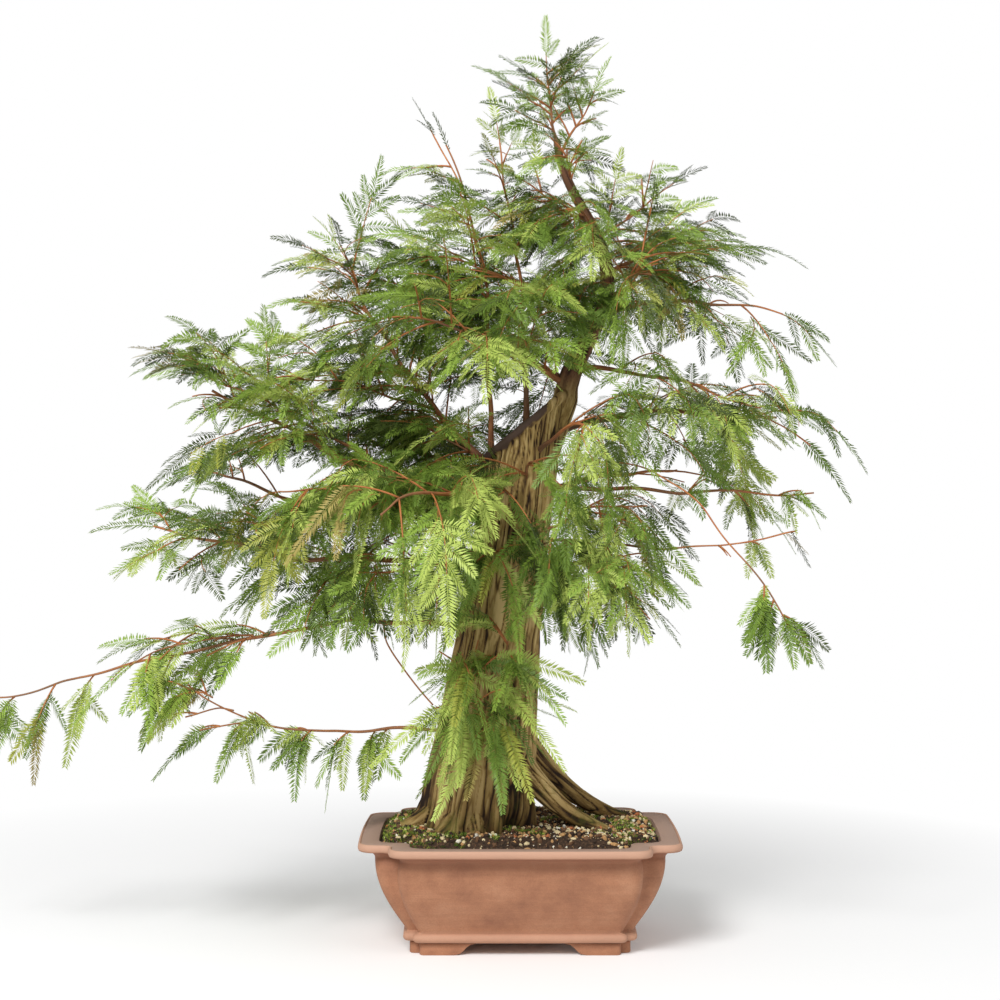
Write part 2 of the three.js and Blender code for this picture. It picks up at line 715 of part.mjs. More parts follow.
// A mass keeps to the space that is nearest to its own stem, for the length of its twigs
const stemPoints = branches.map((branch) => {
  const route = routeOf(branch);
  return Array.from({ length: 7 }, (_, i) => route(mix(branch.bare, 1, i / 6)));
});

function apartFromStem(point, index) {
  const line = new THREE.Line3();
  let least = Infinity;
  for (let i = 0; i < 6; i++) {
    line.set(stemPoints[index][i], stemPoints[index][i + 1]);
    const near = line.closestPointToPoint(point, true, new THREE.Vector3());
    least = Math.min(least, near.distanceTo(point));
  }
  return least / (branches[index].spread + space.margin);
}

function inOwnSpace(points, index) {
  return points.every((point) => {
    const own = apartFromStem(point, index);
    const clear = (_, other) => other === index || apartFromStem(point, other) > own * space.share;
    return own < 1 && branches.every(clear);
  });
}

function touches(solid, others) {
  const a = solid.boundingBox();
  return others.some((other) => {
    const b = other.limits;
    if ([0, 1, 2].some((k) => a.min[k] > b.max[k] || a.max[k] < b.min[k])) return false;
    return !solid.intersect(other.solid).isEmpty();
  });
}

function massSolid(branch, index, others, trunkRoom) {
  const route = routeOf(branch);
  const girth = girthOf(branch);
  const first = branch.bare + (branch.bare ? fit / route(1).distanceTo(route(0)) : 0);
  let stem = solidOf(limb(route, (t) => Math.max(twig.radius, girth(t)), first, 1, 5, 4));
  if (!branch.bare) stem = largestBody(stem.subtract(trunkRoom));
  const pieces = [stem];
  const kept = sideTwigs(branch, 100 + index).filter((side) => {
    const line = alongTwig(side);
    const room = limb(line, (u) => mix(twig.radius, twig.tip, u) + fit, 0, 1, 1, 3);
    return inOwnSpace([line(1)], index) && !touches(solidOf(room), others);
  });
  kept.forEach((side) => {
    pieces.push(solidOf(limb(alongTwig(side), (u) => mix(twig.radius, twig.tip, u), 0, 1, 1, 3)));
  });
  let mass = largestBody(pieces.reduce((whole, piece) => whole.add(piece)));
  spraysOf(branch, kept, 500 + index).forEach((item) => {
    for (let attempt = 0; attempt < spray.attempts; attempt++) {
      const room = blade(item, attempt, fit);
      if (!inOwnSpace([room.middle], index) || touches(room.solid, others)) continue;
      if (meets(item, attempt, mass)) continue;
      mass = mass.add(blade(item, attempt, 0).solid);
      break;
    }
  });
  return mass;
}

// Whether a spray, past its root, would cross what the mass has already
function meets(item, attempt, mass) {
  const start = item.start.clone();
  const whole = blade(item, attempt, 0);
  const along = whole.middle.clone().sub(start).normalize();
  const past = box(-200, 200, -200, 200, spray.root, 400);
  past.lookAt(along).translate(start.x, start.y, start.z);
  return !whole.solid.intersect(solidOf(past)).intersect(mass).isEmpty();
}

// The plant
const plant = new THREE.Group();
plant.position.set(potPlace.x, potPlace.y, 0);

function addNode(name, whole, finish) {
  const solid = tidied(whole);
  const material = new THREE.MeshStandardMaterial({ ...colours[finish], metalness: 0 });
  const mesh = new THREE.Mesh(geometryOf(solid), material);
  mesh.name = name;
  plant.add(mesh);
  return { name, solid, limits: solid.boundingBox() };
}

const trunkRoom = trunkSolid(fit);
const filled = [
  addNode("pot", potSolid(), "clay"),
  addNode("foot_front_left", footSolid(false, false), "clay"),
  addNode("foot_front_right", footSolid(true, false), "clay"),
  addNode("foot_back_left", footSolid(false, true), "clay"),
  addNode("foot_back_right", footSolid(true, true), "clay"),
  addNode("soil", soilSolid(), "earth"),
  addNode("trunk", trunkSolid(0), "bark"),
];
branches.forEach((branch) => {
  if (!branch.bare) return;
  const bough = solidOf(limb(routeOf(branch), girthOf(branch), 0, branch.bare, 5, 5));
  filled.push(addNode(`bough_${branch.name}`, largestBody(bough.subtract(trunkRoom)), "shoot"));
});
branches.forEach((branch, index) => {
  filled.push(addNode(`needles_${branch.name}`, massSolid(branch, index, filled, trunkRoom), "needle"));
});

export default plant;
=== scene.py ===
import math

import bpy
import numpy as np
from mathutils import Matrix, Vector, noise


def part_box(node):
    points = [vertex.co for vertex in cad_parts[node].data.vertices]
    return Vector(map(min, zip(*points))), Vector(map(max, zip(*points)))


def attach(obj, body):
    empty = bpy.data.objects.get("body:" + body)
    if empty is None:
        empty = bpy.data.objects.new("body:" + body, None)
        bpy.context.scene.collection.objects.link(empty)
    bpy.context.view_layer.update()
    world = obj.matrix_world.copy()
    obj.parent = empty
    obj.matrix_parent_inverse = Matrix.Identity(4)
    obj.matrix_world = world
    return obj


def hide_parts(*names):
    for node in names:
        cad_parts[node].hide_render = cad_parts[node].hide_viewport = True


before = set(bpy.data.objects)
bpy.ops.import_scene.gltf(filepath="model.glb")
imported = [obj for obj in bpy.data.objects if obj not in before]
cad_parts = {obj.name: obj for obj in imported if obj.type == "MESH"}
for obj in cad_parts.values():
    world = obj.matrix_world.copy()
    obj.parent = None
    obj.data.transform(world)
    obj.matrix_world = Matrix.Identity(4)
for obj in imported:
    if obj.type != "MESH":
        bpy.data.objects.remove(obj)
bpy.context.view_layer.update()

# A bald cypress grown as a bonsai: its pot, trunk, boughs, crown and soil. Sizes are millimetres from the
# middle of the pot, at the surface that it stands on.
mm = 0.001
potLow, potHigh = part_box("pot")
potMiddle = np.array([(potLow.x + potHigh.x) / 2, (potLow.y + potHigh.y) / 2, 0.0])
up = np.array([0.0, 0.0, 1.0])
wordSize = 0xFFFFFFFF
seeds = {"twigs": 100, "sprays": 500, "moreTwigs": 900, "moreSprays": 1300, "needles": 3000, "fronds": 4000,
         "grit": 7001, "stones": 7100, "moss": 8001}


def mix(a, b, t):
    return a + (b - a) * t


def unit(v):
    return v / np.linalg.norm(v)


def heading(turn):
    return np.array([math.cos(math.radians(turn)), math.sin(math.radians(turn)), 0.0])


def squareTo(v, line):  # the part of v at a right angle to the line
    return v - line * v.dot(line)


def swung(a, b, turn):  # a, turned towards b
    return a * math.cos(turn) + b * math.sin(turn)


def bent(start, knee, end):  # a curve that sets out from start towards the knee and then swings to end
    return lambda t: start * (1 - t) ** 2 + knee * 2 * t * (1 - t) + end * t * t


def turnsOf(sides):
    return np.arange(sides) / sides * 2 * math.pi


def circle(turns, side, other):
    return np.cos(turns)[:, None] * side + np.sin(turns)[:, None] * other


def patches(x, y, size, layer):  # smooth noise over the ground, another for each layer
    return noise.noise((x / size, y / size, layer))


def seeded(seed):  # a repeatable stream of numbers from 0 to 1, mulberry32
    state = seed & wordSize

    def draw():
        nonlocal state
        state = (state + 0x6D2B79F5) & wordSize
        t = ((state ^ (state >> 15)) * (state | 1)) & wordSize
        t ^= (t + (((t ^ (t >> 7)) * (t | 61)) & wordSize)) & wordSize
        return ((t ^ (t >> 14)) & wordSize) / (wordSize + 1)

    return draw


# Making nodes, materials and meshes
def toLinear(hexText):
    values = [int(hexText[i:i + 2], 16) / 255 for i in (1, 3, 5)]
    return [v / 12.92 if v <= 0.04045 else ((v + 0.055) / 1.055) ** 2.4 for v in values] + [1]


def scaleFor(size):  # of a pattern whose features are this many mm across
    return 1 / (size * mm)


def socket(sockets, name):
    return next(s for s in sockets if s.name == name and s.enabled)


def addNode(tree, kind, settings=None, links=None):
    node = tree.nodes.new("ShaderNode" + kind)
    values = dict(settings or {})
    stops = values.pop("stops", [])
    own = [key for key in values if hasattr(node, key)]
    for key in own:
        setattr(node, key, values.pop(key))
    for key, value in values.items():
        socket(node.inputs, key).default_value = value
    for place, _ in stops[2:]:  # a ramp has two stops when it is new
        node.color_ramp.elements.new(place)
    for element, (place, colour) in zip(node.color_ramp.elements if stops else [], stops):
        element.position = place
        element.color = toLinear(colour) if isinstance(colour, str) else [colour] * 3 + [1]
    join(tree, node, links or {})
    return node


def join(tree, node, links):  # a source is an output, or a node whose first output in use is meant
    for name, source in links.items():
        if isinstance(source, bpy.types.Node):
            source = next(s for s in source.outputs if s.enabled)
        tree.links.new(source, socket(node.inputs, name))


def newMaterial(name, shader):
    material = bpy.data.materials.new(name)
    material.use_nodes = True
    tree = material.node_tree
    tree.nodes.clear()
    surface = addNode(tree, "BsdfPrincipled", shader)
    addNode(tree, "OutputMaterial", {}, {"Surface": surface})
    return material, tree, surface


def makePiece(name, points, faceSets, material, slot=None, nodes=(), smooth=True, layers=None):
    mesh = bpy.data.meshes.new(name)
    mesh.vertices.add(len(points))
    mesh.vertices.foreach_set("co", (np.asarray(points) * mm + potMiddle).astype(np.float32).ravel())
    corners = np.concatenate([np.asarray(f, dtype=np.int32).ravel() for f in faceSets])
    sizes = np.concatenate([np.full(len(f), np.asarray(f).shape[1]) for f in faceSets])
    mesh.loops.add(len(corners))
    mesh.loops.foreach_set("vertex_index", corners)
    mesh.polygons.add(len(sizes))
    mesh.polygons.foreach_set("loop_start", np.concatenate([[0], np.cumsum(sizes)[:-1]]).astype(np.int32))
    mesh.polygons.foreach_set("use_smooth", np.full(len(sizes), smooth))
    for layer, values in (layers or {}).items():
        addLayer(mesh, layer, values)
    mesh.update(calc_edges=True)
    return placePiece(name, mesh, material, slot, nodes)


def addLayer(mesh, layer, values):
    values = values.astype(np.float32)
    if values.ndim == 2:
        mesh.attributes.new(layer, "FLOAT_VECTOR", "POINT").data.foreach_set("vector", values.ravel())
    else:
        mesh.attributes.new(layer, "FLOAT", "POINT").data.foreach_set("value", values)


def placePiece(name, mesh, material, slot=None, nodes=()):
    mesh.materials.clear()
    mesh.materials.append(material)
    piece = bpy.data.objects.new(name, mesh)
    bpy.context.scene.collection.objects.link(piece)
    if slot:
        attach(piece, "root")
    if nodes:
        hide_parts(*nodes)
    return piece


def vectorsOf(items, field):
    values = np.empty(len(items) * 3, np.float32)
    items.foreach_get(field, values)
    return values.reshape(-1, 3)


def ringFaces(rings, sides, closed=False):  # four-sided faces between rings, and from the last to the first
    row = np.arange(rings if closed else rings - 1)[:, None] * sides
    a = row + np.arange(sides)
    b = row + (np.arange(sides) + 1) % sides
    return np.stack([a, b, b + sides, a + sides], axis=-1).reshape(-1, 4) % (rings * sides)


def cappedFaces(rings, sides):  # faces between rings, and one over either end
    end = np.arange(sides)[None, :]
    return [ringFaces(rings, sides), end[:, ::-1], end + (rings - 1) * sides]


def joinShells(shells):  # the points and faces of several shells as those of one mesh
    points, faces, first = [], [], 0
    for shellPoints, shellFaces in shells:
        points.append(shellPoints)
        faces += [part + first for part in shellFaces]
        first += len(shellPoints)
    return np.concatenate(points), faces


# Pot
pot = {
    "width": 350, "depth": 280, "height": 123, "feet": 13, "wall": 10, "floor": 12,
    "rimBand": 8.5, "rimFlat": 22, "belt": 10, "baseInset": 51, "bodyInset": 18,
    "rimNotch": 34, "topNotch": 27, "baseNotch": 11,  # depth of the recessed corners, from the rim down
    "hollowTo": 22,  # how far under the rim the hollow begins to widen
    "cove": 9, "coveReach": 14,  # the hollow curve under the rim
    "convex": 0.5, "concave": 0.26,  # rounding of the recessed corners, as shares of the notch
    "bow": 3.0,  # how far the rim's sides swell out in the middle
    "bead": 3.2, "groove": 0.9,  # width of the rim's outer bead, depth of the line inside it
}


def plan(inset, notch, z, edge=14, bend=7):  # an oblong with recessed corners that sweep in and out
    x = pot["width"] / 2 - inset
    y = pot["depth"] / 2 - inset
    outer = notch * pot["convex"]
    inner = notch * pot["concave"]
    arc = np.linspace(0, math.pi / 2, bend)
    upright = np.linspace(0, y - notch - outer, edge, endpoint=False)
    level = np.linspace(x - notch - outer, 0, edge + 1)[1:]
    quarter = np.concatenate([
        np.stack([np.full(edge, x), upright], 1),
        np.stack([x - outer + outer * np.cos(arc), y - notch - outer + outer * np.sin(arc)], 1),
        np.stack([x - notch + inner - inner * np.sin(arc), y - notch + inner - inner * np.cos(arc)], 1),
        np.stack([x - notch - outer + outer * np.cos(arc), y - outer + outer * np.sin(arc)], 1),
        np.stack([level, np.full(edge, y)], 1),
    ])
    bow = pot["bow"] * (1 - inset / 80)
    quarter[:, 0] += bow * np.clip(1 - (quarter[:, 1] / (y - notch)) ** 2, 0, 1)
    quarter[:, 1] += 0.6 * bow * np.clip(1 - (quarter[:, 0] / (x - notch)) ** 2, 0, 1)
    mirrored = quarter[::-1][1:]
    ring = np.concatenate([
        quarter,
        mirrored * [-1, 1],
        quarter[1:] * [-1, -1],
        mirrored[:-1] * [1, -1],
    ])
    return np.column_stack([ring, np.full(len(ring), z)])


def bodyInset(z):
    low = pot["feet"] + pot["belt"] + 3
    high = pot["height"] - pot["rimBand"] - pot["cove"]
    share = np.clip((z - low) / (high - low), 0, 1)
    return mix(pot["baseInset"], pot["bodyInset"], math.sin(share * math.pi / 2))


def notchAt(z):
    return mix(pot["baseNotch"], pot["topNotch"], np.clip((z - pot["feet"]) / 95, 0, 1))


hollowLast = pot["height"] - pot["hollowTo"]  # the walls' height up to there


def hollow(z, gap):
    share = max(0, (z - hollowLast) / (pot["height"] - 3 - hollowLast))
    wall = min(z, hollowLast)
    inset = mix(bodyInset(wall) + pot["wall"], pot["rimFlat"], share)
    return plan(inset + gap, mix(notchAt(wall), pot["rimNotch"], share), z)


def potRings():  # from under the base, up the outside and over the rim, to the floor of the hollow
    base = pot["feet"]
    top = pot["height"]
    under = top - pot["rimBand"]
    rings = [plan(pot["baseInset"] + 5, pot["baseNotch"], base)]
    for turn in np.linspace(-80, 80, 11):  # the half-round moulding
        out = 4.6 * math.cos(math.radians(turn))
        height = base + 1 + pot["belt"] / 2 * (1 + math.sin(math.radians(turn)))
        rings.append(plan(pot["baseInset"] + 1.2 - out, pot["baseNotch"], height))
    for z in np.linspace(base + pot["belt"] + 2.5, under - pot["cove"], 22):
        rings.append(plan(bodyInset(z), notchAt(z), z))
    for turn in np.linspace(12, 84, 8):  # the cove under the rim
        swing = math.radians(turn)
        out = pot["coveReach"] * (1 - math.cos(swing))
        notch = mix(pot["topNotch"], pot["rimNotch"] - 1, turn / 84)
        rings.append(plan(pot["bodyInset"] - out, notch, under - pot["cove"] + 8.6 * math.sin(swing)))
    for turn in np.linspace(-75, 60, 9):  # the rim's rounded face
        swing = math.radians(turn)
        out = 1.8 * math.cos(swing)
        rings.append(plan(1.8 - out, pot["rimNotch"], mix(under, top - 0.6, (math.sin(swing) + 1) / 2)))
    flat = len(rings)
    bead = pot["bead"]
    lip = pot["rimFlat"]
    for inset, drop in [(1.6, 0), (bead - 0.6, 0), (bead, pot["groove"]), (bead + 0.8, pot["groove"]),
                        (bead + 1.6, 0.35), (lip * 0.6, 0.7), (lip - 1.5, 0.6), (lip - 0.4, 1.2), (lip, 3)]:
        rings.append(plan(inset, pot["rimNotch"], top - drop))
    for z in np.linspace(hollowLast, base + pot["floor"], 6):
        rings.append(hollow(z, 0))
    return rings, flat


def makePot(material):
    rings, flat = potRings()
    sides = len(rings[0])
    points = np.concatenate(rings)
    heights = points[:, 2]
    order = np.arange(len(points)) // sides - flat  # each point's ring, counted from the rim's flat top
    base = pot["feet"]
    belt = base + pot["belt"]
    top = pot["height"]
    under = top - pot["rimBand"]
    # the edges that hands and cloths reach are rubbed lighter; on the rim's rounded face this is also a
    # painted highlight
    wornAndHighlit = np.interp(heights, [base, belt, belt + 4, under - 12, under - 0.5, under + 2, top],
                     [0.5, 0.6, 0.05, 0, 0, 0.75, 1])
    wornAndHighlit[order >= 2] = 0
    dusty = np.interp(order, [1, 3, 8, 9], [0, 1, 0.8, 0.3])  # dust and lime lie on the rim's flat top
    # and the cove under the rim is painted darker, a painted shade where the rim shades it
    paintedCoveShade = np.interp(heights, [under - 22, under - 7, under - 1, under + 1.5], [0, 0.5, 1, 0])
    paintedCoveShade = paintedCoveShade * (order < -7)
    piece = makePiece("pot", points, cappedFaces(len(rings), sides), material, "clay", ["pot"],
                      layers={"wornAndHighlit": wornAndHighlit, "dusty": dusty, "paintedCoveShade": paintedCoveShade})
    piece.data.set_sharp_from_angle(angle=math.radians(42))
    return piece


def makeFeet(material):  # the solids' own feet, with their edges softened
    for end in ("front_left", "front_right", "back_left", "back_right"):
        node = "foot_" + end
        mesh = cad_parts[node].data.copy()
        piece = placePiece("foot" + end.title().replace("_", ""), mesh, material, "clay", [node])
        weld = piece.modifiers.new("weld", "WELD")
        weld.merge_threshold = 0.05 * mm
        bevel = piece.modifiers.new("edges", "BEVEL")
        bevel.width = 1.1 * mm
        bevel.segments = 3
        bevel.angle_limit = math.radians(35)
        applyModifiers(piece)
        piece.data.shade_smooth()
        piece.data.set_sharp_from_angle(angle=math.radians(40))


def applyModifiers(piece):
    view = bpy.context.evaluated_depsgraph_get()
    made = bpy.data.meshes.new_from_object(piece.evaluated_get(view))
    piece.modifiers.clear()
    old = piece.data
    piece.data = made
    bpy.data.meshes.remove(old)


# Limbs, by the same named sizes as the solids
trunk = {
    "footX": -50, "lean": 0.13, "waist": 37, "flare": 35, "flareHeight": 165, "top": 620,
    "ridgeHeight": 70, "hollow": 0.23, "flutes": 9, "fluteDepth": 0.035, "fluteTwist": 90,
    "lump": 0.065,  # uneven swellings near the foot
    "ground": 131, "below": 8, "sides": 150, "rings": 110, "limbSides": 20, "limbSteps": 40,
    "voxel": 1.35, "blend": 10,  # the grain in which all limbs are joined, and how far they melt together
    "keep": 0.6,  # share of the faces that stays after the bark is carved
}
chop = {  # the slanting cut, with healed bark rolled round its edge
    "x": -37, "z": 543, "slope": 39, "callus": 5.2, "overhang": 1.5, "sides": 72, "rollSides": 10,
    "past": 4, "ragged": 5, "fade": 3,  # how far bare wood shows past the roll, how unevenly, how softly
    "endX": 30, "leaderX": 56, "leaderRoom": 20,  # bark again from here on, and round the leader's foot
}
leader = {
    "from": 606, "to": 900, "x0": 52, "x1": 42, "swing": 52, "back": 6, "skew": 0.93, "foot": 14, "tip": 4.2,
    "rootX": 12, "rootY": 4, "rootZ": 520, "rootRadius": 24,
}
buttresses = [(184, 0.27, 15), (224, 0.33, 11), (256, 0.4, 9), (289, 0.37, 10),
              (345, 0.2, 16), (38, 0.27, 14), (92, 0.32, 15), (140, 0.3, 13)]  # turn, height, width
roots = [
    dict(turn=14, reach=178, rise=146, foot=21, tip=6.5),
    dict(turn=-17, reach=154, rise=118, foot=20, tip=7.5),
    dict(turn=243, reach=88, rise=46, foot=17, tip=8),
    dict(turn=272, reach=80, rise=60, foot=17, tip=9),
    dict(turn=198, reach=86, rise=55, foot=19, tip=9),
    dict(turn=66, reach=104, rise=60, foot=17, tip=7),
    dict(turn=118, reach=98, rise=56, foot=17, tip=7),
]
stubs = [dict(at=508, turn=196, length=58, radius=6), dict(at=455, turn=300, length=54, radius=5)]
# Each branch is one route: a bare bough first, then its mass of sprays. "fill" is how many further twigs it
# gets for one of the solids', and "fillFrom" how far in on the bare bough they begin. Where "single" is set,
# sprays grow one by one from the bough: how long each is next to the solids' blade, and how far it first
# follows the twig before it droops. "forked" is how often such a blade stands for two sprays from one spot.
usual = dict(on="trunk", off=0, arch=0, peak=0.5, curl=1, bare=0, fine=1, leaf=1, close=1, fill=0,
             fillFrom=0.55, tone="middle", single=None, forked=0, plain=False)
branches = [
    dict(name="lower_left_long", at=318, turn=186, reach=566, rise=-44, arch=52, peak=0.3, bare=0.45,
         girth=5, spread=58, hang=0.45, tipHang=0.9, leaf=0.62, close=1.25, tone="low", single=(0.88, 0.15),
         forked=0.8),
    dict(name="low_left", at=230, turn=188, reach=328, rise=62, arch=-34, peak=0.68, bare=0.27, girth=4,
         spread=30, hang=0.84, leaf=0.62, close=1.15, fill=0.5, tone="low", single=(0.8, 0.5), forked=0.45),
    dict(name="left_low", at=440, turn=183, reach=398, rise=20, arch=-22, bare=0.24, girth=7, spread=84,
         hang=0.5, tipHang=0.05, leaf=0.86, close=1.15, fill=1.6, fillFrom=1),
    dict(name="left_mid", at=468, turn=175, reach=346, rise=150, arch=-14, peak=0.36, bare=0.36, girth=9,
         spread=80, hang=0.25, leaf=0.92, close=1.25, fill=2.6),
    dict(name="left_back", at=510, turn=157, reach=396, rise=18, arch=-34, peak=0.55, bare=0.36, girth=8,
         spread=74, hang=0.22, leaf=0.85, fill=1.8, tone="back"),
    dict(name="upper_left", at=515, turn=172, reach=200, rise=240, curl=0.66, bare=0.34, girth=7, spread=84,
         hang=0.12, leaf=0.86, close=1.35, fill=3.6),
    dict(name="spire_left", at=534, off=34, turn=184, reach=52, rise=356, curl=3, bare=0.34, girth=5,
         spread=34, hang=0.08, leaf=0.6, close=1.2, fill=1.4, tone="top"),
    dict(name="spire_mid", at=575, turn=186, reach=32, rise=320, curl=2, girth=5, spread=56, hang=0.08,
         leaf=0.55, close=1.5, fill=0.8),
    dict(name="apex_left", on="leader", at=896, turn=182, reach=9, rise=80, girth=3, spread=34, hang=0,
         leaf=0.5, close=2.2, fill=2.8, tone="top"),
    dict(name="apex_right", on="leader", at=880, turn=-6, reach=40, rise=68, girth=3, spread=32, hang=0,
         leaf=0.4, close=2, fill=1.8, tone="top"),
    dict(name="apex_low", on="leader", at=806, turn=198, reach=76, rise=40, girth=3, spread=48, hang=0.05,
         leaf=0.6, close=1.2, fill=1.8, tone="top"),
    dict(name="apex_side", on="leader", at=790, turn=4, reach=70, rise=46, girth=3, spread=46, hang=0.05,
         leaf=0.6, close=1.2, fill=0.9, tone="top"),
    dict(name="right_top", on="leader", at=748, turn=6, reach=84, rise=36, arch=4, girth=5, spread=62,
         hang=0.12, leaf=0.72, close=1.3, fill=0.5),
    dict(name="right_upper", on="leader", at=696, turn=-2, reach=206, rise=6, arch=20, peak=0.4, bare=0.3,
         girth=5, spread=78, hang=0.3, leaf=0.76, close=1.2, fill=0.3),
    dict(name="right_mid", on="leader", at=640, turn=-12, reach=208, rise=-46, arch=18, bare=0.3, girth=5,
         spread=84, hang=0.45, leaf=0.85, close=1.2, fill=1),
    dict(name="right_branch", at=560, turn=14, reach=300, rise=26, arch=18, bare=0.32, girth=8, spread=86,
         hang=0.4, leaf=0.9, close=1.2, fill=1.2),
    dict(name="right_long", at=509, turn=-3, reach=332, rise=-8, bare=0.5, girth=5, spread=44, hang=0.6,
         leaf=0.5, fill=0.8, single=(0.85, 0.3)),
    dict(name="right_low", at=450, turn=-8, reach=318, rise=8, arch=-18, peak=0.65, bare=0.68, girth=4,
         spread=24, hang=0.75, leaf=0.45, fill=0.6, single=(0.72, 0.2), fine=0.8),
    dict(name="right_trailing", at=524, turn=-24, reach=312, rise=-164, arch=84, peak=0.55, bare=0.89,
         girth=3, spread=30, hang=0.8, leaf=0.62, tone="front", single=(0.82, 0.7), forked=1, fine=0.6),
    dict(name="bottom_right", at=408, turn=-38, reach=172, rise=12, arch=12, bare=0.32, girth=6, spread=84,
         hang=0.8, tipHang=0.2, leaf=0.72, close=1.4, fill=1.9, tone="front"),
    dict(name="right_front", at=545, off=30, turn=-62, reach=140, rise=10, arch=22, girth=5, spread=74,
         hang=0.66, leaf=0.85, fill=1.1, tone="front"),
    dict(name="front", at=432, off=34, turn=-98, reach=66, rise=6, girth=3, spread=52, hang=0.66, leaf=0.62,
         close=1.6, fill=1.2, tone="front", single=(1.25, 0.9)),
    dict(name="front_low", at=236, off=44, turn=-108, reach=58, rise=92, girth=3, spread=60, hang=0.76,
         leaf=0.74, close=1.8, fill=2, tone="low", single=(1.08, 0.7)),
    dict(name="left_under", at=428, off=26, turn=203, reach=156, rise=-16, girth=4, spread=66, hang=0.62,
         leaf=0.8, close=1.2, fill=1.1, tone="front"),
    dict(name="front_left", at=474, turn=-132, reach=216, rise=6, arch=26, bare=0.34, girth=6, spread=92,
         hang=0.55, leaf=0.95, fill=1.4, tone="front"),
    dict(name="front_upper", on="leader", at=622, turn=-148, reach=206, rise=70, arch=12, girth=5,
         spread=92, hang=0.3, leaf=0.9, close=1.2, fill=2),
    dict(name="front_top", on="leader", at=706, turn=-58, reach=104, rise=58, girth=4, spread=64, hang=0.2,
         leaf=0.72, close=1.2, fill=2),
    dict(name="back_left", at=500, turn=140, reach=276, rise=70, arch=8, bare=0.42, girth=7, spread=96,
         hang=0.3, fill=1, tone="back"),
    dict(name="back_right", at=486, turn=44, reach=276, rise=40, arch=12, bare=0.42, girth=7, spread=96,
         hang=0.3, fill=0.5, tone="back"),
    dict(name="back_low", at=420, turn=88, reach=250, rise=10, arch=12, bare=0.4, girth=7, spread=96,
         hang=0.35, leaf=0.95, close=1.1, fill=0.5, tone="back"),
    dict(name="back_upper", on="leader", at=626, turn=146, reach=240, rise=112, arch=8, girth=5, spread=96,
         hang=0.2, fill=1.4, tone="back"),
    dict(name="back_top", on="leader", at=704, turn=52, reach=166, rise=84, arch=6, girth=5, spread=84,
         hang=0.2, fill=1.4, tone="back"),
]
# A mass's room past its twigs, how far it may lean into another's, and how far twigs keep from the sky gaps
space = {"margin": 40, "share": 0.7, "gapRoom": 2.4}
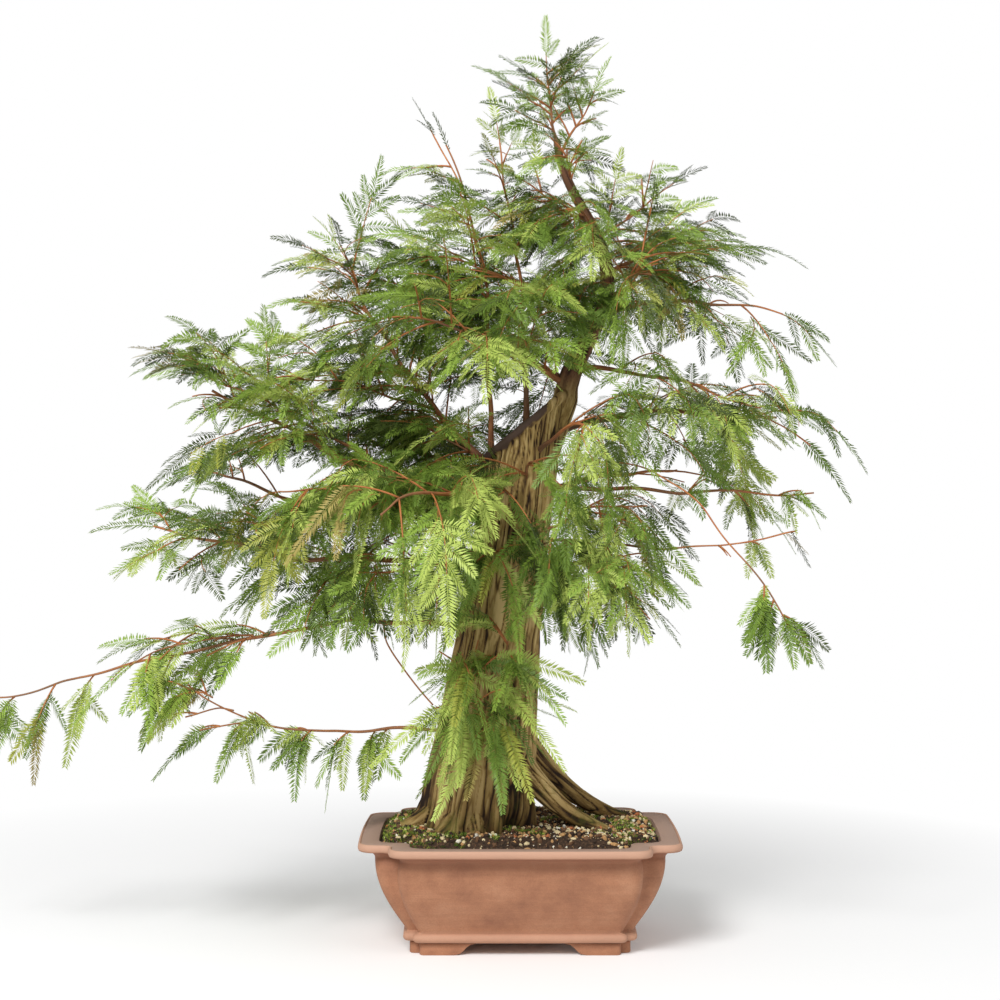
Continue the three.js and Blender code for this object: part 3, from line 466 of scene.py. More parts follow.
# Lighter boughs that fork off those of the solids, each of them part of the mass that "within" names
lightBranches = [
    dict(name="left_high", within="left_mid", on="left_mid", at=0.22, turn=170, reach=285, rise=150, arch=8,
         bare=0.12, girth=4.5, spread=84, hang=0.2, leaf=0.88, close=1.2, fill=2.6),
    dict(name="front_high", within="front_upper", on="leader", at=686, turn=207, reach=176, rise=76,
         bare=0.1, girth=4, spread=74, hang=0.25, leaf=0.8, close=1.2, fill=1.7),
    dict(name="back_high", within="back_upper", on="leader", at=716, turn=163, reach=180, rise=56, bare=0.1,
         girth=4, spread=76, hang=0.2, leaf=0.85, close=1.2, fill=0.6, tone="back"),
    dict(name="leader_front", within="front_top", on="leader", at=776, turn=-112, reach=84, rise=44,
         girth=3, spread=58, hang=0.3, leaf=0.72, close=1.6, fill=1, tone="front"),
    dict(name="leader_side", within="front_top", on="leader", at=728, turn=-62, reach=96, rise=8, arch=14,
         girth=3, spread=62, hang=0.5, leaf=0.76, close=1.5, fill=0.6),
    dict(name="leader_back", within="back_top", on="leader", at=764, turn=84, reach=110, rise=40, girth=3,
         spread=70, hang=0.3, leaf=0.8, close=1.4, fill=0.6, tone="back"),
    dict(name="left_front", within="front_left", on="left_low", at=0.12, turn=196, reach=215, rise=70,
         arch=24, bare=0.1, girth=4.5, spread=80, hang=0.45, leaf=0.85, close=1.2, fill=0.9, tone="front"),
    dict(name="long_fork", within="lower_left_long", on="lower_left_long", at=0.48, turn=200, reach=140,
         rise=-34, arch=12, girth=1.9, spread=50, hang=0.12, leaf=0.6, close=1.5, tone="low",
         single=(1, 0.8)),
    dict(name="long_fork_back", within="lower_left_long", on="lower_left_long", at=0.52, turn=172, reach=96,
         rise=-8, arch=10, girth=1.7, spread=44, hang=0.34, leaf=0.6, close=1.5, tone="low",
         single=(0.95, 0.7)),
    dict(name="tip_fork", within="low_left", on="low_left", at=0.72, turn=200, reach=84, rise=-4, arch=6,
         girth=1.6, spread=36, hang=0.5, leaf=0.62, close=2.2, tone="low", single=(0.95, 0.7)),
    dict(name="tip_end", within="low_left", on="low_left", at=0.86, turn=204, reach=56, rise=-4, arch=4,
         girth=1.4, spread=34, hang=0.6, leaf=0.75, close=2.4, tone="low", single=(0.95, 0.6)),
    dict(name="fork_right", within="lower_left_long", on="lower_left_long", at=0.44, turn=214, reach=80,
         rise=-22, arch=8, girth=1.5, spread=40, hang=0.3, leaf=0.6, close=2, tone="low",
         single=(0.9, 0.6)),
    dict(name="cut_left", within="left_mid", at=505, off=10, turn=184, reach=92, rise=72, arch=6, bare=0.1,
         girth=3, spread=60, hang=0.35, leaf=0.8, close=1.6, fill=2),
    dict(name="old_twig", within="lower_left_long", on="lower_left_long", at=0.225, turn=-12, reach=60,
         rise=-92, curl=1.6, girth=1.7, spread=1, plain=True),
    dict(name="spire_high", within="spire_left", on="spire_left", at=0.86, turn=176, reach=32, rise=64,
         girth=2, spread=26, hang=0, leaf=0.42, close=2, tone="top"),
    dict(name="leader_left", within="apex_low", on="leader", at=812, turn=-140, reach=56, rise=22,
         girth=2.4, spread=46, hang=0.3, leaf=0.6, close=2, fill=1.1, tone="top"),
    dict(name="leader_tuft", within="apex_low", on="leader", at=846, turn=-96, reach=36, rise=34, girth=2.2,
         spread=36, hang=0.2, leaf=0.5, close=2.2, fill=0.6, tone="top"),
    dict(name="front_mid", within="front", at=498, off=36, turn=-104, reach=56, rise=16, girth=3, spread=58,
         hang=0.5, leaf=0.62, close=1.8, fill=1, tone="front", single=(1.2, 0.7)),
    dict(name="right_fan", within="right_front", at=452, off=30, turn=-34, reach=140, rise=34, arch=14,
         bare=0.1, girth=3.4, spread=70, hang=0.5, leaf=0.85, close=1.5, fill=0.9, tone="front"),
    dict(name="cut_back", within="back_left", at=498, off=20, turn=126, reach=150, rise=100, arch=6,
         bare=0.15, girth=4, spread=84, hang=0.3, leaf=0.95, close=1.5, fill=1.4, tone="back"),
    dict(name="right_reach", within="right_branch", on="right_branch", at=0.6, turn=-8, reach=150, rise=-34,
         arch=20, bare=0.2, girth=2.6, spread=40, hang=0.4, leaf=0.72, close=1.2, fill=0.5,
         single=(1, 0.8)),
    dict(name="left_rise", within="upper_left", on="upper_left", at=0.34, turn=184, reach=176, rise=34,
         arch=12, bare=0.1, girth=3, spread=70, hang=0.3, leaf=0.8, close=1.4, fill=1.2),
    dict(name="tip_high", within="low_left", on="low_left", at=0.93, turn=186, reach=52, rise=-4, arch=6,
         girth=1.3, spread=34, hang=0.5, leaf=0.52, close=2, fill=0.4, tone="low", single=(0.9, 0.5)),
    dict(name="front_fan", within="front_low", at=312, off=38, turn=-76, reach=34, rise=34, girth=2.2,
         spread=46, hang=0.42, leaf=0.62, close=2.6, fill=0.6, tone="low", single=(1.15, 0.8)),
    dict(name="front_arch", within="front", at=512, off=34, turn=-78, reach=58, rise=22, arch=8, girth=2.4,
         spread=60, hang=0.5, leaf=0.66, close=2.4, fill=1, tone="front", single=(1.15, 0.7)),
    dict(name="front_hang", within="front_low", at=242, off=50, turn=-88, reach=28, rise=26, girth=1.8,
         spread=38, hang=0.72, leaf=0.66, close=2.6, fill=0.8, tone="low", single=(1.05, 0.5)),
    dict(name="right_hang", within="right_front", at=436, off=36, turn=-46, reach=72, rise=8, arch=8,
         girth=2.4, spread=50, hang=0.68, leaf=0.72, close=2.2, fill=1, single=(1.1, 0.7)),
]
allBranches = [{**usual, **branch} for branch in branches + lightBranches]


def trunkAxis(z):
    return np.array([trunk["footX"] + trunk["lean"] * (z - trunk["ground"]), 0.0, z])


def trunkRadius(angle, z):
    height = z - trunk["ground"]
    plain = trunk["waist"] + trunk["flare"] * np.exp(-height / trunk["flareHeight"])
    ridges = 0
    for turn, rise, width in buttresses:
        apart = (np.degrees(angle) - turn + 180) % 360 - 180
        ridges = ridges + rise * np.exp(-((apart / width) ** 2))
    low = np.exp(-height / trunk["ridgeHeight"])
    flutes = trunk["fluteDepth"] * np.cos(trunk["flutes"] * angle + height / trunk["fluteTwist"])
    lumps = trunk["lump"] * np.sin(5 * angle + height / 21) * np.sin(3 * angle - height / 34)
    return plain * (1 + (ridges - trunk["hollow"] + lumps) * low + flutes)


def leaderRoute(t):
    if t < 0:
        return np.array([mix(leader["x0"], leader["rootX"], -t), -leader["rootY"] * t,
                         mix(leader["from"], leader["rootZ"], -t)])
    bow = math.sin(math.pi * min(t, 1) ** leader["skew"]) ** 2
    x = mix(leader["x0"], leader["x1"], t) + leader["swing"] * bow
    return np.array([x, leader["back"] * bow, mix(leader["from"], leader["to"], t)])


def leaderRadius(t):
    if t < 0:
        return mix(leader["foot"], leader["rootRadius"], -t)
    return mix(leader["foot"], leader["tip"], t ** 0.7)


def rootRoute(root):
    middle = trunkAxis(trunk["ground"])
    out = heading(root["turn"])
    start = middle + out * 22 + up * root["rise"]
    knee = middle + out * root["reach"] * 0.5 + up * root["rise"] * 0.12
    return bent(start, knee, middle + out * root["reach"] - up * root["tip"] * 0.5)


def rootRadius(root):
    return lambda t: mix(root["foot"], root["tip"], max(0, t) ** 0.7)


def stubRoute(stub):
    start = trunkAxis(stub["at"])
    out = heading(stub["turn"]) * stub["length"] + up * 6
    return lambda t: start + out * t


def stubRadius(stub):
    return lambda t: stub["radius"]


def directionAt(route, t):
    return unit(route(t + 0.01) - route(t - 0.01))


def startOf(branch):
    share = (branch["at"] - leader["from"]) / (leader["to"] - leader["from"])
    forks = [other for other in allBranches if other["name"] == branch["on"]]
    if forks:
        return routeOf(forks[0])(branch["at"])
    start = leaderRoute(share) if branch["on"] == "leader" else trunkAxis(branch["at"])
    return start + heading(branch["turn"]) * branch["off"]


def routeOf(branch):
    start = startOf(branch)
    out = heading(branch["turn"])
    skew = math.log(0.5) / math.log(branch["peak"])

    def route(t):
        bow = branch["arch"] * math.sin(math.pi * min(1, max(0, t)) ** skew)
        level = branch["reach"] * math.copysign(abs(t) ** branch["curl"], t)
        return start + out * level + up * (branch["rise"] * t + bow)

    return route


def sidesOf(ahead):  # the upper side and the left side of a line that runs ahead
    flat = np.array([1.0, 0.0, 0.0]) if abs(ahead[2]) > 0.8 else up
    above = unit(squareTo(flat, ahead))
    return above, np.cross(above, ahead)


def hangAt(branch, share):
    return mix(branch["hang"], branch.get("tipHang", branch["hang"]), share)


# Bark relief. Fibre coordinates are two across the limb, and one along it, in mm.
bark = {
    "stripWidth": 6.8, "stripLength": 105, "fineWidth": 3.7, "fineLength": 48,
    "plateWidth": 24, "plateLength": 130,
    "wander": 5.5, "wanderWidth": 26, "wanderLength": 58, "crack": 0.09, "fineCrack": 0.09,
    "trunkDepth": 1.9, "rootDepth": 1.2, "leaderDepth": 0.5, "cutDepth": 0.7,
    "boughScale": 0.5, "boughDepth": 0.1,  # the last is a share of the bough's radius
    "round": 50,  # the trunk's fibres are laid on a pipe of this radius
    "mossFall": 55, "mossTop": 480, "mossFade": 80, "dampFall": 70,  # heights over the soil
    "youngFrom": 596, "youngOver": 40,  # the leader's bark is younger
}


def fibreNoise(fibre, width, length, shift):  # smooth noise, another for each shift
    spots = fibre * [1 / width, 1 / width, 1 / length] + shift
    return np.array([noise.noise(spot) for spot in spots.tolist()])


def barkRelief(fibre, scale=1.0):
    moved = fibre.copy()
    for side, shift in enumerate((3.1, 7.7)):
        drift = fibreNoise(fibre, bark["wanderWidth"] * scale, bark["wanderLength"] * scale, shift)
        moved[:, side] += bark["wander"] * scale * drift
    strips = fibreNoise(moved, bark["stripWidth"] * scale, bark["stripLength"] * scale, 11.7)
    fine = fibreNoise(moved, bark["fineWidth"] * scale, bark["fineLength"] * scale, 47.9)
    plates = fibreNoise(moved, bark["plateWidth"] * scale, bark["plateLength"] * scale, 29.3)
    crack = np.exp(-((strips / bark["crack"]) ** 2))
    fineCrack = np.exp(-((fine / bark["fineCrack"]) ** 2))
    return 0.55 * plates + 0.5 * np.abs(strips) + 0.4 * fine - 0.7 * crack - 0.35 * fineCrack


def limbRings(route, radius, start, end, steps, sides):  # a limb's rings and their fibre coordinates
    rings, fibres = [], []
    side = None
    length = 0
    last = route(start)
    turns = turnsOf(sides)
    for i in range(steps + 1):
        t = mix(start, end, i / steps)
        middle = route(t)
        ahead = directionAt(route, t)
        if side is None:
            side = np.array([1.0, 0.0, 0.0]) if abs(ahead[2]) > 0.9 else up
        side = unit(squareTo(side, ahead))
        length += np.linalg.norm(middle - last)
        last = middle
        rings.append(middle + circle(turns, side, np.cross(ahead, side)) * radius(t))
        across = radius(start) * 0.8
        fibres.append(np.column_stack([np.cos(turns) * across, np.sin(turns) * across,
                                       np.full(sides, length)]))
    return np.array(rings), np.array(fibres)


def cutHeight(x):
    return chop["z"] + (x - chop["x"]) * math.tan(math.radians(chop["slope"]))


def cutEdge():  # the line on which the slanting cut meets the bark
    line = []
    for turn in np.linspace(0, 2 * math.pi, chop["sides"], endpoint=False):
        z = chop["z"]
        for _ in range(40):  # closing in on the height where both meet
            x = trunkAxis(z)[0] + (trunkRadius(turn, z) + chop["overhang"]) * math.cos(turn)
            z = mix(z, cutHeight(x), 0.5)
        out = trunkRadius(turn, z) + chop["overhang"]
        line.append(trunkAxis(z) + heading(math.degrees(turn)) * out - up * 2)
    return np.array(line)


def callusRoll():  # healed bark, rolled round the edge of the cut
    line = cutEdge()
    turns = turnsOf(chop["rollSides"])
    rings = []
    for i, middle in enumerate(line):
        ahead = unit(line[(i + 1) % len(line)] - line[i - 1])
        above, across = sidesOf(ahead)
        size = chop["callus"] * (1 + 0.3 * noise.noise((i * 0.35, 2.0, 5.0)))
        rings.append(middle + circle(turns, above, across) * size)
    return np.concatenate(rings), [ringFaces(len(line), len(turns), closed=True)]


def trunkLimbs():  # kind, route, radius, start and end of all that is joined to the trunk
    limbs = [("leader", leaderRoute, leaderRadius, -1, 1)]
    limbs += [("root", rootRoute(root), rootRadius(root), 0, 1) for root in roots]
    limbs += [("stub", stubRoute(stub), stubRadius(stub), 0, 1) for stub in stubs]
    return limbs


def makeTrunk(material):
    sides = trunk["sides"]
    turns = turnsOf(sides)
    low = trunk["ground"] - trunk["below"]
    rings = []
    for z in np.linspace(low, trunk["top"], trunk["rings"]):
        out = trunkRadius(turns, z)
        across = trunkAxis(z)[0] + out * np.cos(turns)
        rings.append(np.column_stack([across, out * np.sin(turns), np.full(sides, z)]))
    points = np.concatenate(rings)
    # what stands over the slanting cut is brought down to it
    points[:, 2] = np.minimum(points[:, 2], np.maximum(cutHeight(points[:, 0]), low))
    shells = [(points, cappedFaces(len(rings), sides))]
    limbs = trunkLimbs()
    for _, route, radius, start, end in limbs:
        made, _ = limbRings(route, radius, start, end, trunk["limbSteps"], trunk["limbSides"])
        shells.append((made.reshape(-1, 3), cappedFaces(len(made), trunk["limbSides"])))
    shells.append(callusRoll())
    piece = makePiece("trunkBark", *joinShells(shells), material, "bark", ["trunk"])
    remesh = piece.modifiers.new("join", "REMESH")
    remesh.mode = "VOXEL"
    remesh.voxel_size = trunk["voxel"] * mm
    soften = piece.modifiers.new("melt", "SMOOTH")
    soften.factor = 0.5
    soften.iterations = trunk["blend"]
    applyModifiers(piece)
    carveBark(piece, limbs)
    thin = piece.modifiers.new("thin", "DECIMATE")  # fewer faces where the bark is even
    thin.ratio = trunk["keep"]
    applyModifiers(piece)
    return piece


def fibresAt(places, limbs):  # by each point's nearest limb: its fibre coordinates and its bark's depth
    aside = places[:, 0] - trunk["footX"] - trunk["lean"] * (places[:, 2] - trunk["ground"])
    angle = np.arctan2(places[:, 1], aside)
    nearest = np.hypot(places[:, 1], aside) / trunkRadius(angle, places[:, 2])
    nearest[places[:, 2] > trunk["top"]] = 9  # the trunk has ended there
    fibre = np.column_stack([bark["round"] * np.cos(angle), bark["round"] * np.sin(angle), places[:, 2]])
    depth = np.full(len(places), bark["trunkDepth"])
    for index, (kind, route, radius, start, end) in enumerate(limbs):
        shares = np.linspace(start, end, 60)
        line = np.array([route(t) for t in shares])
        sizes = np.array([radius(t) for t in shares])
        aheads = np.array([directionAt(route, t) for t in shares])
        gaps = np.linalg.norm(places[:, None, :] - line[None], axis=2) / sizes
        best = gaps.argmin(axis=1)
        ratio = gaps[np.arange(len(places)), best]
        own = ratio < nearest
        nearest = np.where(own, ratio, nearest)
        lengths = np.concatenate([[0], np.cumsum(np.linalg.norm(np.diff(line, axis=0), axis=1))])
        ahead = aheads[best]
        offset = places - line[best]
        forward = (offset * ahead).sum(1)
        across = offset - ahead * forward[:, None]
        side = unit(np.cross(ahead[0], up)) if abs(ahead[0][2]) < 0.9 else np.array([1.0, 0, 0])
        other = np.cross(ahead, side)
        along = lengths[best] + forward + 300 * (index + 1)  # no two limbs share a pattern
        new = np.column_stack([(across * side).sum(1), (across * other).sum(1), along])
        fibre = np.where(own[:, None], new, fibre)
        depth = np.where(own, bark["rootDepth"] if kind == "root" else bark["leaderDepth"], depth)
    return nearest, fibre, depth


def cutAt(places, nearest):  # 1 on the bare wood of the slanting cut, 0 on bark
    ragged = chop["ragged"] * fibreNoise(places, 9, 9, 17.3)
    cut = chop["callus"] + chop["past"] + ragged - np.abs(cutHeight(places[:, 0]) - places[:, 2])
    cut = np.clip(cut / chop["fade"], 0, 1) * (places[:, 0] < chop["endX"]) * (nearest > 0.86)
    return np.where(np.hypot(places[:, 0] - chop["leaderX"], places[:, 1]) < chop["leaderRoom"], 0, cut)


def mossAt(places, normals, fibre, level):  # patches at the foot and on the roots, thin streaks higher up
    spots = fibreNoise(places, 24, 30, 5.3) + 0.6 * fibreNoise(places, 7, 9, 8.9)
    streaks = fibreNoise(fibre, 8, 110, 71.3)
    low = np.exp(-np.clip(level, 0, None) / bark["mossFall"])
    growth = 0.5 * low + 0.75 * np.clip(normals[:, 2], 0, 1) * low + 0.9 * spots - 0.2
    growth = np.maximum(growth, 0.7 * streaks + 0.25 * spots - 0.1)
    return np.clip(growth, 0, 1)


def carveBark(piece, limbs):
    mesh = piece.data
    places = (vectorsOf(mesh.vertices, "co") - potMiddle) / mm
    normals = vectorsOf(mesh.vertex_normals, "vector")
    nearest, fibre, depth = fibresAt(places, limbs)
    relief = barkRelief(fibre)
    cut = cutAt(places, nearest)
    relief = mix(relief, -0.5 + 0.3 * relief, cut)  # a dished face with a few cracks
    depth = mix(depth, bark["cutDepth"], cut)
    places = places + normals * (depth * relief)[:, None]
    mesh.vertices.foreach_set("co", (places * mm + potMiddle).astype(np.float32).ravel())
    level = places[:, 2] - trunk["ground"]
    moss = mossAt(places, normals, fibre, level) * (1 - cut)
    moss = moss * np.clip((bark["mossTop"] - level) / bark["mossFade"], 0, 1)
    damp = np.clip(0.85 + 0.7 * fibreNoise(places, 40, 50, 2.9), 0, 1)
    addLayer(mesh, "fibre", fibre * mm)
    # the relief also sets the bark's colour: painted shade in the cracks and a painted highlight on the
    # ridges, over its own tones
    addLayer(mesh, "relief", np.clip((relief + 1.1) / 1.8, 0, 1))
    addLayer(mesh, "moss", moss)
    addLayer(mesh, "cut", cut)
    addLayer(mesh, "damp", np.exp(-np.clip(level, 0, None) / bark["dampFall"]) * damp)
    addLayer(mesh, "youth", np.clip((places[:, 2] - bark["youngFrom"]) / bark["youngOver"], 0, 1))
    mesh.polygons.foreach_set("use_smooth", np.full(len(mesh.polygons), True))
    mesh.update()


# Boughs and stems: one ringed skin along each branch's route, down to its tip
limbSkin = {"step": 2.6, "sides": 12, "tip": 0.9, "sway": 4.0, "swayLength": 60, "slim": 0.64,
            "footSwell": [0.6, 0.1]}  # where a bough leaves the trunk, and where it forks off another


def swayingRoute(branch, index):  # the route with the small turns that a grown branch has
    route = routeOf(branch)
    long = np.linalg.norm(route(1) - route(0))

    def swaying(t):
        place = route(t)
        along = t * long / limbSkin["swayLength"]
        room = limbSkin["sway"] * min(1, max(0, t) * 4)
        shift = [noise.noise((along, index * 7.3, k * 3.7)) for k in range(3)]
        return place + room * 2 * np.array(shift)

    return swaying


def boughRadius(branch, swell):
    slim = limbSkin["slim"] * branch["fine"]

    def radius(t):
        girth = branch["girth"] * (1 - 0.72 * max(0, t) ** 0.8)
        return max(limbSkin["tip"], slim * girth * (1 + swell * math.exp(-t * 16)))

    return radius


def makeBoughs(material):
    shells, fibres, ages = [], [], []
    for index, branch in enumerate(allBranches):
        route = swayingRoute(branch, index)
        radius = boughRadius(branch, limbSkin["footSwell"][0 if index < len(branches) else 1])
        steps = int(np.linalg.norm(route(1) - route(0)) / limbSkin["step"])
        rings, fibre = limbRings(route, radius, 0, 1, steps, limbSkin["sides"])
        middles = rings.mean(axis=1, keepdims=True)
        out = rings - middles
        size = np.linalg.norm(out, axis=2)
        flat = fibre.reshape(-1, 3) + [0, 0, 500 * index]
        relief = barkRelief(flat, bark["boughScale"]).reshape(size.shape)
        rings = middles + out * (1 + bark["boughDepth"] * relief)[:, :, None]
        shells.append((rings.reshape(-1, 3), cappedFaces(steps + 1, limbSkin["sides"])))
        fibres.append(flat)
        ages.append(np.clip((size.ravel() - 1.5) / 5, 0, 1))
    layers = {"fibre": np.concatenate(fibres) * mm, "age": np.concatenate(ages)}
    nodes = ["bough_" + branch["name"] for branch in allBranches[:len(branches)] if branch["bare"]]
    return makePiece("boughBark", *joinShells(shells), material, "shoot", nodes, layers=layers)


# Side twigs and sprays, by the rule that the solids' masses follow
twig = {
    "spacing": 54, "least": 0.78, "vary": 0.44,  # lengths vary from the least share, by the next
    "open": 54, "openVary": 16, "scatter": 110, "turnOn": 47,  # degrees from and round the bough
    "sag": 0.25, "radius": 1.25, "tip": 0.7, "fillSize": 0.85,  # the last is for the further twigs
}
spray = {
    "length": 134, "endAt": 0.95, "sideAt": [0.34, 0.66], "sideSize": 0.88,  # places are shares of the twig
    "vary": 0.3, "swing": 42, "roll": [28, 78],
}


def sideTwigs(branch, seed, route, often=1.0, first=None):
    random = seeded(seed)
    first = branch["bare"] if first is None else first
    run = np.linalg.norm(route(1) - route(first))
    count = max(3, round(run / twig["spacing"] * branch["close"] * often))
    found = []
    for k in range(count):
        share = (k + 0.5) / (count + 0.3)
        t = mix(first, 1, share)
        ahead = directionAt(route, t)
        above, across = sidesOf(ahead)
        steep = k * twig["turnOn"] if abs(ahead[2]) > 0.6 else 0
        turn = math.radians((90 if k % 2 else -90) + (random() - 0.5) * twig["scatter"] + steep)
        opened = math.radians(twig["open"] + (random() - 0.5) * twig["openVary"])
        direction = swung(ahead, swung(above, across, turn), opened)
        swell = 0.3 + 0.7 * math.sin(math.pi * (0.2 + 0.72 * share))
        length = branch["spread"] * swell * (twig["least"] + twig["vary"] * random())
        direction[2] -= hangAt(branch, share) * twig["sag"]
        found.append({"share": share, "start": route(t), "direction": unit(direction), "length": length})
    return found


def spraysOf(branch, sides, seed, route):
    random = seeded(seed)
    found = []

    def place(share, start, ahead, swing, whole):
        size = whole * branch["leaf"] * (0.95 - 0.15 * share) * (0.88 + spray["vary"] * random())
        hang = hangAt(branch, share) * (0.75 + 0.35 * random())
        roll = mix(*spray["roll"], random()) * (-1 if random() < 0.5 else 1)
        found.append({"share": share, "start": start, "ahead": ahead, "swing": swing, "size": size,
                      "hang": hang, "roll": roll})

    place(1, route(0.985), directionAt(route, 0.985), 0, 1)
    for k, side in enumerate(sides):
        step = side["direction"] * side["length"]
        place(side["share"], side["start"] + step * spray["endAt"], side["direction"], 0, 1)
        for i, at in enumerate(spray["sideAt"]):
            swing = 1 if (i + k) % 2 else -1
            place(side["share"], side["start"] + step * at, side["direction"], swing, spray["sideSize"])
    return found


def stemLine(branch):
    route = routeOf(branch)
    return np.array([route(mix(branch["bare"], 1, i / 6)) for i in range(7)])


stemLines = [stemLine(branch) for branch in allBranches]


def apartFromStem(point, index):
    starts = stemLines[index][:-1]
    runs = stemLines[index][1:] - starts
    share = np.clip(((point - starts) * runs).sum(1) / (runs * runs).sum(1), 0, 1)
    least = np.linalg.norm(starts + runs * share[:, None] - point, axis=1).min()
    return least / (allBranches[index]["spread"] + space["margin"])


def inOwnSpace(point, index):
    own = apartFromStem(point, index)
    if index >= len(branches):
        return own < 1
    others = (apartFromStem(point, other) for other in range(len(branches)) if other != index)
    return own < 1 and all(gap > own * space["share"] for gap in others)


def inTrunk(point, room=4.0):
    if point[2] > trunk["top"] or point[2] < trunk["ground"]:
        return False
    middle = trunkAxis(point[2])
    angle = math.atan2(point[1], point[0] - middle[0])
    return math.hypot(point[0] - middle[0], point[1]) < trunkRadius(angle, point[2]) + room


# Fronds: each stands where the solids have one toothed blade, as a fine twig with real sprays left and right
frond = {
    "pitch": 8, "open": [58, 34], "side": [20, 38],  # of its side sprays: from foot to tip, least and added
    "endShare": 0.52, "least": 42, "knee": 0.45, "radius": 0.7, "tip": 0.4,
    "flat": 0.75, "droop": [0.05, 0.34], "scatter": 36, "tilt": 84, "stray": 0.7,
    "single": 0.24, "singleSize": 0.8,  # how often one spray stands for the whole frond, and how long it is
    "toneStep": 0.16,  # how often a spray is a step lighter or darker than its frond
}


def bladeFrame(item):
    above, across = sidesOf(item["ahead"])
    out = swung(item["ahead"], across, math.radians(item["swing"] * spray["swing"]))
    along = unit(out * (1 - item["hang"]) - up * item["hang"])
    face = squareTo(above, along)
    if np.linalg.norm(face) < 0.2:
        face = squareTo(across, along)
    face = unit(face)
    return along, swung(face, np.cross(along, face), math.radians(item["roll"]))


def growSingle(item, index, along, face, random, sprays):
    branch = allBranches[index]
    size, follow = branch["single"] or (frond["singleSize"], 0)
    whole = spray["length"] * item["size"]
    stray = np.array([random() - 0.5, random() - 0.5, (random() - 0.5) * 0.4])
    along = unit(along + item["ahead"] * follow + stray * frond["stray"])
    tone = pickTone(index, random)
    addSpray(sprays, item["start"], along, face, whole * size, tone, random, index)
    if branch["single"]:  # a shorter one, just before it on the twig
        turned = unit(along + item["ahead"] * 0.8 - up * 0.2)
        addSpray(sprays, item["start"] - item["ahead"] * 7, turned, face, whole * 0.55, tone, random, index)
    if branch["forked"] and random() < branch["forked"]:
        aside = np.array([1.1 if random() < 0.35 else -0.8, random() - 0.5, 0.3 * random()])
        turned = unit(along + aside * (0.6 + 0.5 * random()))
        addSpray(sprays, item["start"], turned, face, whole * size * 0.75, tone, random, index)


def growFrond(item, index, random, twigs, sprays):
    along, face = bladeFrame(item)
    lie = frond["flat"] * (1 - item["hang"]) ** 0.7
    face = unit(face * (1 - lie) + up * lie)  # level sprays lie flat, hanging ones turn to any side
    if allBranches[index]["single"] or random() < frond["single"]:
        growSingle(item, index, along, face, random, sprays)
        return
    whole = spray["length"] * item["size"]
    last = max(frond["least"], whole * frond["endShare"])
    run = max(8, whole - last * 0.92)
    start = item["start"]
    axis = bent(start, start + item["ahead"] * run * frond["knee"], start + along * run)
    tone = pickTone(index, random)
    count = max(2, round(run / frond["pitch"]))
    before = len(sprays)
    for k in range(count):
        u = (k + 0.3 + 0.4 * random()) / count
        ahead = unit(axis(u + 0.02) - axis(u - 0.02))
        above = unit(squareTo(face, ahead))
        across = np.cross(above, ahead) * (1 if (k + int(item["roll"])) % 2 else -1)
        opened = math.radians(mix(*frond["open"], u) + (random() - 0.5) * frond["scatter"])
        direction = swung(ahead, across, opened) + above * 0.4 * (random() - 0.5)
        direction = direction - up * item["hang"] * 0.3
        length = (frond["side"][0] + frond["side"][1] * min(1.1, item["size"])) * (1 - 0.25 * u)
        length *= 0.8 + 0.4 * random()
        addSpray(sprays, axis(u), unit(direction), above, length, tone, random, index)
    ahead = unit(axis(1) - axis(0.9))
    addSpray(sprays, axis(1), ahead, face, last * (0.92 + 0.12 * random()), tone, random, index)
    if len(sprays) > before + 1:
        line = [axis(u) for u in np.linspace(0, 1, 5)]
        twigs.append((line, frond["radius"], frond["tip"]))


def addSpray(sprays, start, along, face, length, tone, random, index):
    tilt = math.radians((random() - 0.5) * frond["tilt"])
    normal = squareTo(face, along)
    if np.linalg.norm(normal) < 0.1:
        normal = np.cross(along, up + 0.01)
    normal = unit(normal)
    normal = swung(normal, np.cross(along, normal), tilt)
    if random() < frond["toneStep"]:
        step = 1 if random() < 0.5 else -1
        tone = tones[max(0, min(len(tones) - 1, tones.index(tone) + step))]
    droop = mix(*frond["droop"], random()) * (1 - abs(along[2])) ** 0.5
    kind = int(random() * needle["kinds"])
    if inTrunk(start + along * length * 0.6) or clearOf(start + along * length * 0.55):
        return
    sprays.append({"start": start, "along": along, "normal": normal, "length": length, "tone": tone,
                   "kind": kind, "droop": droop, "index": index})


# Places that no spray covers, as x, z and half sizes: sky shows through these, from front to back
skyGaps = [
    (-208, 296, 112, 46), (-440, 240, 24, 50), (196, 312, 76, 50), (228, 486, 25, 30), (-272, 527, 78, 19),
    (222, 400, 34, 22), (336, 470, 20, 16), (-330, 262, 22, 26), (300, 560, 34, 16), (-62, 900, 20, 46),
    (268, 708, 40, 14), (158, 518, 36, 24), (130, 910, 40, 44), (-399, 578, 44, 26), (-455, 400, 46, 30),
    (192, 660, 42, 16), (-405, 620, 28, 20), (-262, 741, 36, 22), (160, 572, 18, 14), (-12, 470, 16, 14),
    (-150, 430, 20, 16), (60, 908, 26, 14), (-214, 694, 20, 13), (-332, 580, 22, 13),
    (238, 746, 24, 13), (-388, 392, 26, 20), (-384, 236, 14, 20), (-154, 178, 16, 18), (286, 454, 20, 16),
    (-352, 178, 26, 24), (118, 336, 22, 20), (-424, 226, 20, 18), (230, 752, 30, 14),
]
# and these only clear what grows in front of the trunk, so that the slanting cut and the bark show
trunkGaps = [(2, 570, 34, 36), (18, 345, 16, 26), (-92, 172, 20, 22)]


def inGap(point, gaps, room=1.0):
    return any(((point[0] - x) / across) ** 2 + ((point[2] - z) / high) ** 2 < room
               for x, z, across, high in gaps)


def clearOf(point, room=1.0):
    return inGap(point, skyGaps) or (point[1] < -20 and inGap(point, trunkGaps, room))
